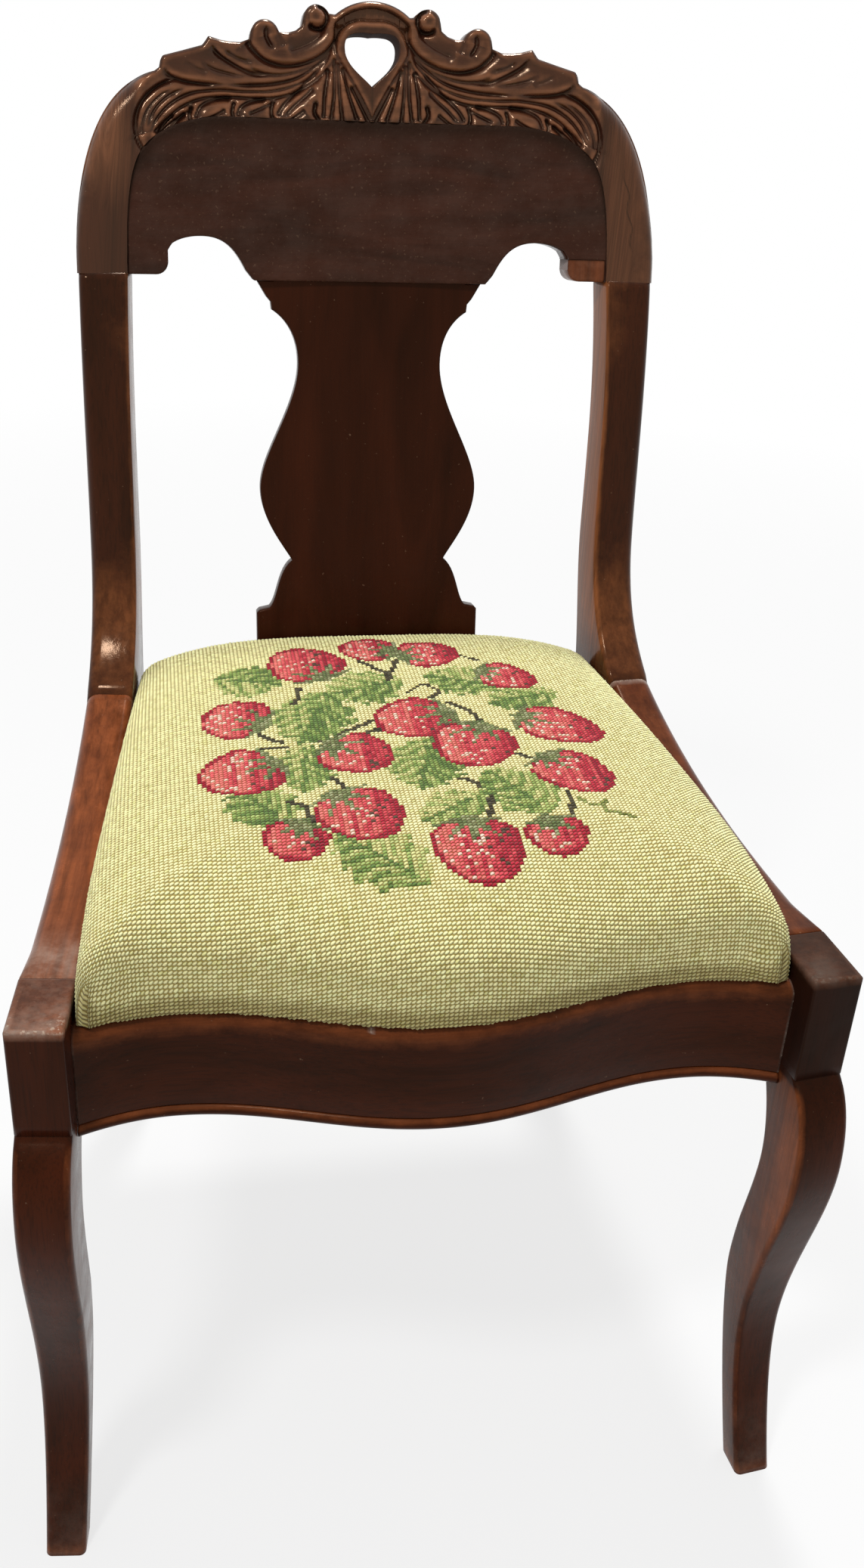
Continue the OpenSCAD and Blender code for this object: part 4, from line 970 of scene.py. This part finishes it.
def rolled(t, at, places, totals, table):
    """For lengths t past the start of a roll: the distance left to the edge, and the length
    that hangs over it."""
    total = np.interp(at, places, totals)
    index = (at - places[0]) / (places[-1] - places[0]) * (len(places) - 1)
    share = np.clip(t / total, 0, 1) * (table.shape[1] - 1.001)
    return between(table, index, share), np.maximum(t - total, 0)


side_y, across = np.linspace(12, SEAT_REAR, 120), np.linspace(0, 201, 100)
side_roll = roll_of(SIDE_ROLL, lambda y, d: (side_x(y) - d, y), side_y)
front_roll = roll_of(FRONT_ROLL, lambda x, d: (x, rail_face(x) + d), across)
rear_roll = roll_of(REAR_ROLL, lambda x, d: (x, SEAT_REAR - d),
                    np.minimum(across, side_x(SEAT_REAR) - 1))

# the canvas rows and columns on which the four corners lie
corner_y = float(rail_face(RAIL_HALF - 3))
i_front, i_rear, j_front, j_rear, front_low = (int(round(float(place) / HALF)) for place in (
    side_x(corner_y) - SIDE_ROLL + np.interp(corner_y, side_y, side_roll[0]),
    side_x(SEAT_REAR) - SIDE_ROLL + side_roll[0][-1],
    rail_face(200.0) + FRONT_ROLL - np.interp(200, across, front_roll[0]),
    SEAT_REAR - REAR_ROLL + np.interp(side_x(SEAT_REAR), across, rear_roll[0]),
    rail_face(0.0) + FRONT_ROLL - front_roll[0][0] - HALF / 2))
cols = np.arange(-i_front - SPARE_SIDE, i_front + SPARE_SIDE + 1)
rows = np.arange(min(front_low, j_front) - SPARE_FRONT, j_rear + SPARE_REAR + 1)
ca, cb = np.meshgrid(cols * HALF, rows * HALF, indexing="ij")
x = np.minimum(np.abs(ca), side_x(np.clip(cb, corner_y, SEAT_REAR)) - 1)
for _ in range(4):
    t = rail_face(x) + FRONT_ROLL - cb
    left_over, over_front = rolled(t, x, across, *front_roll)
    y = np.where(t > 0, rail_face(x) + left_over, cb)
    t = cb - (SEAT_REAR - REAR_ROLL)
    left_over, over_rear = rolled(t, x, across, *rear_roll)
    y = np.where(t > 0, SEAT_REAR - left_over, y)
    t = np.abs(ca) - (side_x(y) - SIDE_ROLL)
    left_over, over_side = rolled(t, y, side_y, *side_roll)
    x = np.where(t > 0, side_x(y) - left_over, np.abs(ca))
over = over_front + over_rear + over_side
# turn the corners in plan: what lies outside the quarter circle is pulled in onto it
for edge_y, way in ((rail_face(x), 1), (SEAT_REAR, -1)):
    qx, qy = CORNER - (side_x(y) - x), CORNER - way * (y - edge_y)
    near = (qx > 0) & (qy > 0)
    pull = np.where(near, np.minimum(CORNER / np.maximum(np.hypot(qx, qy), 1e-6), 1), 1)
    x = np.where(near, x + qx * (pull - 1), x)
    y = np.where(near, y - way * qy * (pull - 1), y)
# relax the canvas at the front corners: places and overhang are averaged with their neighbours
i_past, j_ahead = (np.abs(cols) - i_front)[:, None], (rows - j_front)[None]
ease = 1 - step(np.hypot(i_past, j_ahead), EASE_FULL, EASE_END)
kept_cell = 1.0 - ((i_past > 0) & (j_ahead < 0))


def relaxed(values):
    """Each cell's value eased towards the mean of its neighbours, near the corners."""
    mean = box_blur(values * kept_cell, 3) / np.maximum(box_blur(kept_cell, 3), 0.02)
    return values * (1 - ease * kept_cell) + mean * ease * kept_cell


for _ in range(EASE_TIMES):
    x, y, over = relaxed(x), relaxed(y), relaxed(over)
wall = cushion(x, y)
height = relaxed(relaxed(wall - over))
z, under = np.maximum(height, 0), np.maximum(-height, 0)
tucked = TURN_UNDER * (1 - np.exp(-under / TURN_UNDER))
way_x = np.where(over_side > 0, 1.0, 0)
way_y = np.where(over_front > 0, 1.0, 0) - np.where(over_rear > 0, 1.0, 0)
many = np.maximum(way_x + np.abs(way_y), 1)
x, y = x - way_x / many * tucked, y + way_y / many * tucked
# mitre the turned-under hem where the side's runs on past the seam at a corner
y = y + 0.5 * tucked * (i_past > 0) * np.exp(-np.abs(j_ahead) / 10)
x = x - 0.5 * tucked * (rows > j_rear) * np.exp(-np.abs(np.abs(cols) - i_rear) / 10)[:, None]
cloth = leaned(np.stack([np.where(ca < 0, -1.0, 1.0) * x, y, z], -1))

# lift each stitch off the canvas along the surface's normal, least at the corners between
normal = np.cross(np.gradient(cloth, axis=0), np.gradient(cloth, axis=1))
length = np.linalg.norm(normal, axis=2, keepdims=True)
normal = np.where(length > 1e-3, normal / np.maximum(length, 1e-6), 0)
odd_i, odd_j = (cols % 2 == 1)[:, None], (rows % 2 == 1)[None]
bead = np.where(odd_i & odd_j, 1.0, np.where(odd_i | odd_j, 0.4, 0.0))
rng = np.random.default_rng(11)
bead = bead * (1 + 0.12 * rng.standard_normal(bead.shape))
cloth = cloth + normal * (0.95 * bead - 0.4)[..., None] * (under < 1)[..., None]

# weld the four corners: beyond a corner the side's rows and the front's columns meet in a seam
Na, Nb = len(cols), len(rows)
index = np.arange(Na * Nb).reshape(Na, Nb)
flat = cloth.reshape(-1, 3)
gone = np.zeros((Na - 1, Nb - 1), bool)
for side in SIDES.values():
    for i_edge, j_edge, way in ((i_front, j_front, -1), (i_rear, j_rear, 1)):
        i0, j0 = int(np.searchsorted(cols, side * i_edge)), int(np.searchsorted(rows, j_edge))
        i_room, j_room = (Na - 1 - i0 if side > 0 else i0), (j0 if way < 0 else Nb - 1 - j0)
        for k in range(1, min(i_room, j_room) + 1):
            a, b = index[i0 + side * k, j0], index[i0, j0 + way * k]
            flat[a] = flat[b] = (flat[a] + flat[b]) / 2
            index[i0 + side * k, j0] = b
        ii = slice(i0, Na - 1) if side > 0 else slice(0, i0)
        jj = slice(0, j0) if way < 0 else slice(j0, Nb - 1)
        gone[ii, jj] = True
quads = np.stack([index[:-1, :-1], index[1:, :-1], index[1:, 1:], index[:-1, 1:]], -1)
cell_i, cell_j = np.nonzero(~gone)
quads = quads[cell_i, cell_j]
corner_cloth = np.stack([np.stack([cols[cell_i + a] / 2, rows[cell_j + b] / 2, 0 * cell_i], -1)
                         for a, b in ((0, 0), (1, 0), (1, 1), (0, 1))], 1)

# close the cover with a plain lining that runs from the turned-under edge up inside the wall
one_way = {(int(a), int(b)) for q in quads for a, b in zip(q, np.roll(q, -1))}
after = {a: b for a, b in one_way if (b, a) not in one_way}
walk = [min(after)]
while after[walk[-1]] != walk[0]:
    walk.append(after[walk[-1]])
place = flat[walk] - [0, 0, SEAT_Z]
edge_plan = np.stack(on_outline(place[:, 0], place[:, 1], *outline.T), -1)
lining = [leaned(place + [0, 0, 1.2])]
for share, drop in ((0.94, None), (0.93, 8), (0.9, 4), (0.65, 4), (0.3, 4)):
    plan = drawn_in(edge_plan, share)
    height = np.full(len(plan), 1.4) if drop is None else cushion(*plan.T) - drop
    lining.append(leaned(np.c_[plan, height]))
used, compact = np.unique(np.r_[quads.ravel(), walk], return_inverse=True)
count, n = len(used), len(walk)
points = np.concatenate([flat[used]] + lining + [leaned([[0, MID_Y, CROWN - 4]])])
rings = [compact[-n:]] + [count + k * n + np.arange(n) for k in range(len(lining))]
extra = [np.stack([np.roll(a, -1), a, b, np.roll(b, -1)], -1) for a, b in zip(rings, rings[1:])]
tip = np.full(n, count + len(lining) * n)
fan = np.stack([np.roll(rings[-1], -1), rings[-1], tip], -1)
faces = (compact[:quads.size].reshape(-1, 4).tolist() + np.concatenate(extra).tolist()
         + fan.tolist())

# the stitches' colours: a slightly uneven yellow-green ground, then leaves, stems and berries
c0, r0 = cols.min() // 2, rows.min() // 2
sx, sy = np.meshgrid((np.arange(c0, cols.max() // 2 + 1) + 0.5) * STITCH,
                     (np.arange(r0, rows.max() // 2 + 1) + 0.5) * STITCH, indexing="ij")
GROUND = np.array([255.0, 249.0, 185.0])
yarn = GROUND + 5 * rng.standard_normal(sx.shape)[..., None] * [1, 1, 0.8]
yarn[rng.random(sx.shape) < 0.06] += [-14, -12, -20]


def turned_to(x, y, angle):
    """Stitch places as lengths along and across a direction, from a point."""
    a = math.radians(angle)
    dx, dy = sx - x, sy - y
    return dx * math.cos(a) + dy * math.sin(a), -dx * math.sin(a) + dy * math.cos(a)


def work(mask, colour):
    """Stitches of the mask worked in a colour, or in the colours of an array."""
    yarn[mask] = colour if np.ndim(colour) == 1 else colour[mask]


def leaf(x, y, angle, length, width, tone=0.0):
    """A leaf from stem to tip: half width sin(pi t)^0.75 with five saw teeth, lighter between
    the slanting side veins, dark on the midrib, and worked in upright streaks of greens."""
    s, q = turned_to(x, y, angle)
    t = np.clip(s / length + 0.5, 0, 1)
    half = width / 2 * np.sin(np.pi * t) ** 0.75 * (0.8 + 0.36 * np.mod(5.0 * t + 0.15, 1))
    ragged = 1.5 * rng.random(sx.shape[0])[:, None]
    mask = (np.abs(s) < length / 2) & (np.abs(q) < half - ragged + 0.8)
    between_veins = s + 0.9 * np.abs(q) + 2.4 * np.sin(0.27 * sx + 0.19 * sy)
    between_veins = np.mod(between_veins, 10.5) / 10.5
    streak = 0.36 * (rng.random((sx.shape[0], 1)) - 0.5) + 0.3 * (rng.random(sx.shape) - 0.5)
    shade = 0.16 + 0.62 * np.sin(np.pi * between_veins) ** 1.4 + 0.14 * np.sign(q)
    shade = shade + streak + tone
    shade = np.where((np.abs(q) < 1.4) & (t < 0.8), 0.08 + 0.8 * np.abs(streak), shade)
    greens = np.array([[98, 128, 62], [122, 152, 76], [148, 174, 92], [176, 196, 114],
                       [204, 214, 138], [226, 226, 154]])
    work(mask, greens[(np.clip(shade, 0, 0.999) * len(greens)).astype(int)])


def stem(points, thick=1.8, colour=(68.0, 62.0, 38.0)):
    """A stalk or tendril along a smooth line through the points."""
    away = from_line(smooth_line(points, 6), sx, sy)[0]
    work(away < thick, np.array(colour) + 14 * rng.standard_normal(sx.shape)[..., None])


def berry(x, y, angle, length, width):
    """A strawberry from cap to tip: broad shoulders, rounded tip, crimson rim, coral body that
    turns crimson to its right, pale seeds left and dark seeds right, and five green sepals."""
    s, q = turned_to(x, y, angle)
    t = s / length + 0.5
    upper = 1 - np.clip((0.36 - t) / 0.40, 0, 1) ** 2.4
    lower = np.sqrt(np.clip(1 - ramped(t, 0.36, 1) ** 1.9, 0, 1))
    half = width / 2 * np.where(t < 0.36, upper, lower)
    mask = (t > -0.02) & (t < 1) & (np.abs(q) < half)
    rim = np.minimum(half - np.abs(q), (1 - t) * length * 0.7)
    light = -(sx - x) / (0.5 * max(width, length)) * 0.8
    shade = light + 0.3 * rng.standard_normal((sx.shape[0], 1))
    shade = shade + 0.22 * rng.standard_normal(sx.shape)
    reds = np.array([[160, 26, 48], [196, 44, 64], [224, 76, 88], [240, 104, 106],
                     [246, 130, 122]])
    seeds = rng.random(sx.shape)
    work(mask, reds[np.clip(((shade + 1.4) * 2.1).astype(int), 0, 4)])
    work(mask & (rim < 3.1), (170, 22, 46))
    work(mask & (rim > 4) & (light > -0.2) & (seeds < 0.14), (254, 216, 198))
    work(mask & (rim > 4) & (light < -0.15) & (seeds > 0.91), (92, 66, 50))
    greens = np.array([[104, 120, 70], [138, 150, 98], [164, 170, 126], [122, 128, 84]])
    pick = greens[rng.integers(0, 4, sx.shape)]
    from_cap = s + 0.5 * length - 1
    for turn_deg in (-82, -42, 0, 42, 82):
        a, long = math.radians(turn_deg), (0.4 + 0.06 * math.cos(3 * turn_deg)) * width
        r = from_cap * math.cos(a) + q * math.sin(a)
        perp = np.abs(q * math.cos(a) - from_cap * math.sin(a))
        work((r > -3) & (r < long) & (perp < 3.3 * (1.15 - r / long)), pick)


for spot in ((-92, 276, 160, 46, 46), (-16, 260, 20, 58, 46), (52, 266, -20, 54, 42),
             (-54, 222, 70, 72, 54, -0.1), (-66, 160, 85, 60, 38), (8, 160, 75, 66, 50, -0.1),
             (88, 242, 20, 54, 38), (58, 124, -60, 58, 50), (-94, 118, -60, 58, 40, -0.05),
             (-32, 66, -45, 66, 46, 0.16), (16, 108, 35, 50, 34, 0.1)):
    leaf(*spot)
for line in ([(-60, 262), (-61, 250), (-65, 240)], [(-14, 300), (3, 280), (12, 300), (20, 304)],
             [(3, 280), (2, 270)], [(-42, 197), (-30, 206), (-12, 217)],
             [(-38, 194), (-18, 202), (-6, 204)], [(-92, 208), (-84, 196), (-76, 192)],
             [(-96, 182), (-84, 186), (-74, 186)], [(-52, 192), (-48, 184), (-42, 176)],
             [(-50, 146), (-46, 136), (-44, 126)], [(-80, 121), (-70, 115), (-67, 96)],
             [(24, 139), (31, 137), (36, 130)], [(40, 118), (36, 100), (30, 92)],
             [(66, 168), (74, 162), (84, 158)], [(88, 120), (86, 104), (80, 88)],
             [(36, 236), (48, 222), (54, 204)]):
    stem(line)
for line in ([(40, 306), (56, 306), (70, 296)], [(12, 252), (24, 262), (32, 250), (22, 240)]):
    stem(line, 1.2)
stem([(92, 112), (100, 104), (108, 110), (104, 98), (114, 96), (120, 92)], 1.3, (146, 158, 84))
for spot in ((-52, 298, 115, 54, 54), (-6, 320, 165, 40, 42), (36, 310, 10, 44, 44),
             (84, 272, -25, 42, 38), (-104, 226, 150, 44, 50), (10, 216, 195, 54, 52),
             (-104, 158, 205, 52, 54), (-32, 174, -40, 46, 50), (42, 180, -110, 56, 54),
             (104, 204, -25, 58, 46), (98, 144, -55, 54, 48), (-38, 106, -60, 54, 52),
             (-78, 84, -110, 34, 38), (24, 68, -85, 56, 54), (72, 78, -80, 34, 38)):
    berry(*spot)
stitch_of = to_linear(np.clip(yarn, 0, 255))[cols[cell_i] // 2 - c0, rows[cell_j] // 2 - r0]

# soil and painted shade: the cover darkens along the front and over the front and side rolls, where
# it turns away from the light
soil_and_shade = 0.15 * step(rail_face(np.minimum(x, 201)) + 16 - cb, 0, 22)
soil_and_shade = soil_and_shade + np.clip(over_front / 9, 0, 1) + 0.35 * np.clip(over_side / 30, 0, 1)
# the cover's dusty share carries this soil and painted shade
dusty = np.zeros(len(points))
dusty[:count] = np.clip(soil_and_shade.ravel()[used], 0, 1)
material = blank("needlepoint")
cloth_at = node("Attribute", attribute_name="cloth").outputs["Vector"]
yarn_at = node("Attribute", attribute_name="yarn").outputs["Color"]
wear_and_light_at = node("Attribute", attribute_name="wear_and_light").outputs["Color"]
soil_and_shade = node("SeparateColor", {"Color": wear_and_light_at}).outputs["Green"]
axes = node("SeparateXYZ", {"Vector": cloth_at}).outputs
u, v = (maths("SUBTRACT", maths("FRACT", axes[name]), 0.5) for name in "XY")
cell = node("VectorMath", {0: cloth_at}, operation="FLOOR").outputs[0]
chance = node("TexWhiteNoise", {"Vector": cell}, noise_dimensions="3D").outputs["Value"]
plump = ramp(chance, 0, 1, 0.9, 1.08)
longways = times(maths("ADD", times(u, 1.3), times(v, 0.92)), plump)
sideways = times(maths("SUBTRACT", times(v, 2.2), times(u, 1.55)), plump)
far = maths("ADD", times(longways, longways), times(sideways, sideways))
lump = maths("SQRT", maths("MAXIMUM", maths("SUBTRACT", 1.0, far), 0.0))


def tinted(factor, colour, tint):
    """The colour multiplied by a tint, by the factor."""
    return mixed(factor, colour, mixed(1.0, colour, (*tint, 1), "MULTIPLY"))


worked = tinted(ramp(chance, 0, 1, 0.0, 0.13), yarn_at, (0.55, 0.52, 0.42))
worked = tinted(times(soil_and_shade, 0.8), worked, (0.42, 0.36, 0.24))
# painted shade: the low ground between the stitches is darkened
shaded_gap = mixed(1.0, worked, (0.40, 0.32, 0.15, 1), "MULTIPLY")
surface(mixed(ramp(lump, 0.05, 0.72), shaded_gap, worked), 0.85, 0.25,
        Normal=bumped(lump, 0.0014, 1.0), **{"Sheen Weight": 0.15})
piece = build("seat_cover_needlepoint", "seat", points, points, (0, dusty, 0), ["seat_cover"],
              material, faces)
values = np.zeros((len(piece.data.loops), 3), np.float32)
values[:corner_cloth.shape[0] * 4] = corner_cloth.reshape(-1, 3)
attach(piece, "cloth", values, "CORNER")
# painted shade: the lining takes a near-black yarn colour, for the shade inside the cover
values = np.full((len(piece.data.loops), 4), 0.02, np.float32)
values[:len(stitch_of) * 4, :3] = np.repeat(stitch_of, 4, axis=0)
values[:, 3] = 1
attach(piece, "yarn", values, "CORNER")

# Hidden woods and metal: plain materials for the parts inside and under the seat. A node takes
# the first look whose words are in its name, the metal ones before the wooden ones.
INSIDE = plain("mahogany_inside", (58, 26, 13), 0.3, specular=0.11, stretch=0.06)
looks = (
    (("screws", "tacks"), plain("steel", (120, 118, 116), 0.4, 1.0)),
    (("seat_ledge", "corner_block", "dowels", "seat_frame"), plain("beech", (178, 138, 92), 0.6)),
    (("webbing", "hessian"), plain("jute", (160, 128, 84), 0.9, scale=600.0)),
    (("stuffing",), horsehair),
    (("seat_cover",), plain("needlepoint_plain", (222, 214, 150), 0.9)),
    (("crest_panel",), plain("panel_plain", (60, 41, 34), 0.5)),
    (("splice",), plain("worn_plain", (110, 62, 42), 0.4)),
)
for piece in [o for o in bpy.data.objects if "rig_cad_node" in o]:
    found = [look for words, look in looks if any(w in piece["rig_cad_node"] for w in words)]
    piece.data.materials.clear()
    piece.data.materials.append((found + [INSIDE])[0])

# Stage: a pale floor, a white surround, two wide soft lamps overhead, and the camera.
FLOOR_SIZE = 8.0
LAMPS = (((-0.8, -1.0, 2.4), 24.0), ((0.25, 0.6, 2.6), 38.0))
LAMP_SIZE, LAMP_AIM = 0.36, Vector((0, 0, 0.5))
CAMERA_PLACE = (-144.67, -632.36, 916.37)
YAW, PITCH, ROLL = math.radians(11.2221), math.radians(29.6789), math.radians(-3.328)
FOCAL_PX, LONG_PX, SENSOR = 2003.5, 2074.0, 36.0


def surround_seen():
    """1 for rays that show the surround: from the camera, in gloss or through glass."""
    path = node("LightPath").outputs
    seen = maths("MAXIMUM", path["Is Camera Ray"], path["Is Glossy Ray"])
    return maths("MAXIMUM", seen, path["Is Transmission Ray"])


bpy.ops.mesh.primitive_plane_add(size=FLOOR_SIZE, location=(0, 0, 0))
floor = bpy.context.object
floor.name = "floor"
floor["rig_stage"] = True
floor.data.materials.append(blank("floor"))
matt = node("BsdfDiffuse", {"Color": (0.8, 0.8, 0.8, 1)}).outputs[0]
white = node("Emission", {"Color": (1, 1, 1, 1), "Strength": 1.0}).outputs[0]
place = node("TexCoord").outputs["Object"]
away = node("VectorMath", {0: place}, operation="LENGTH").outputs["Value"]
share = times(surround_seen(), ramp(away, 0.7, 2.4, 0.75, 1.0))
shown = node("MixShader", {0: share, 1: matt, 2: white})
node("OutputMaterial", {0: shown.outputs[0]})

world = bpy.data.worlds.new("surround")
bpy.context.scene.world = world
world.use_nodes = True
tree = world.node_tree
tree.nodes.clear()
strength = ramp(surround_seen(), 0, 1, 0.4, 1.0)
light = node("Background", {"Color": (1, 1, 1, 1), "Strength": strength}).outputs[0]
node("OutputWorld", {0: light})

for place, power in LAMPS:
    lamp = bpy.data.lights.new("soft_lamp", "AREA")
    lamp.shape, lamp.size, lamp.energy = "DISK", LAMP_SIZE, power
    holder = bpy.data.objects.new("soft_lamp", lamp)
    holder.location = place
    holder.rotation_euler = (Vector(place) - LAMP_AIM).to_track_quat("Z", "Y").to_euler()
    bpy.context.collection.objects.link(holder)

forward = np.array([math.sin(YAW) * math.cos(PITCH), math.cos(YAW) * math.cos(PITCH),
                    -math.sin(PITCH)])
level = np.array([math.cos(YAW), -math.sin(YAW), 0])
plumb = np.cross(forward, level)
right = math.cos(ROLL) * level + math.sin(ROLL) * plumb
down = math.cos(ROLL) * plumb - math.sin(ROLL) * level
lens = bpy.data.cameras.new("camera")
lens.sensor_width, lens.sensor_fit = SENSOR, "AUTO"
lens.lens = SENSOR * FOCAL_PX / LONG_PX
lens.clip_start, lens.clip_end = 0.01, 50
camera = bpy.data.objects.new("camera", lens)
turn = np.eye(4)
turn[:3] = np.stack([right, -down, -forward, row(CAMERA_PLACE)], 1)
camera.matrix_world = Matrix(turn.tolist())
bpy.context.collection.objects.link(camera)
bpy.context.scene.camera = camera
bpy.context.scene.view_settings.view_transform = "Standard"

low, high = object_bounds()
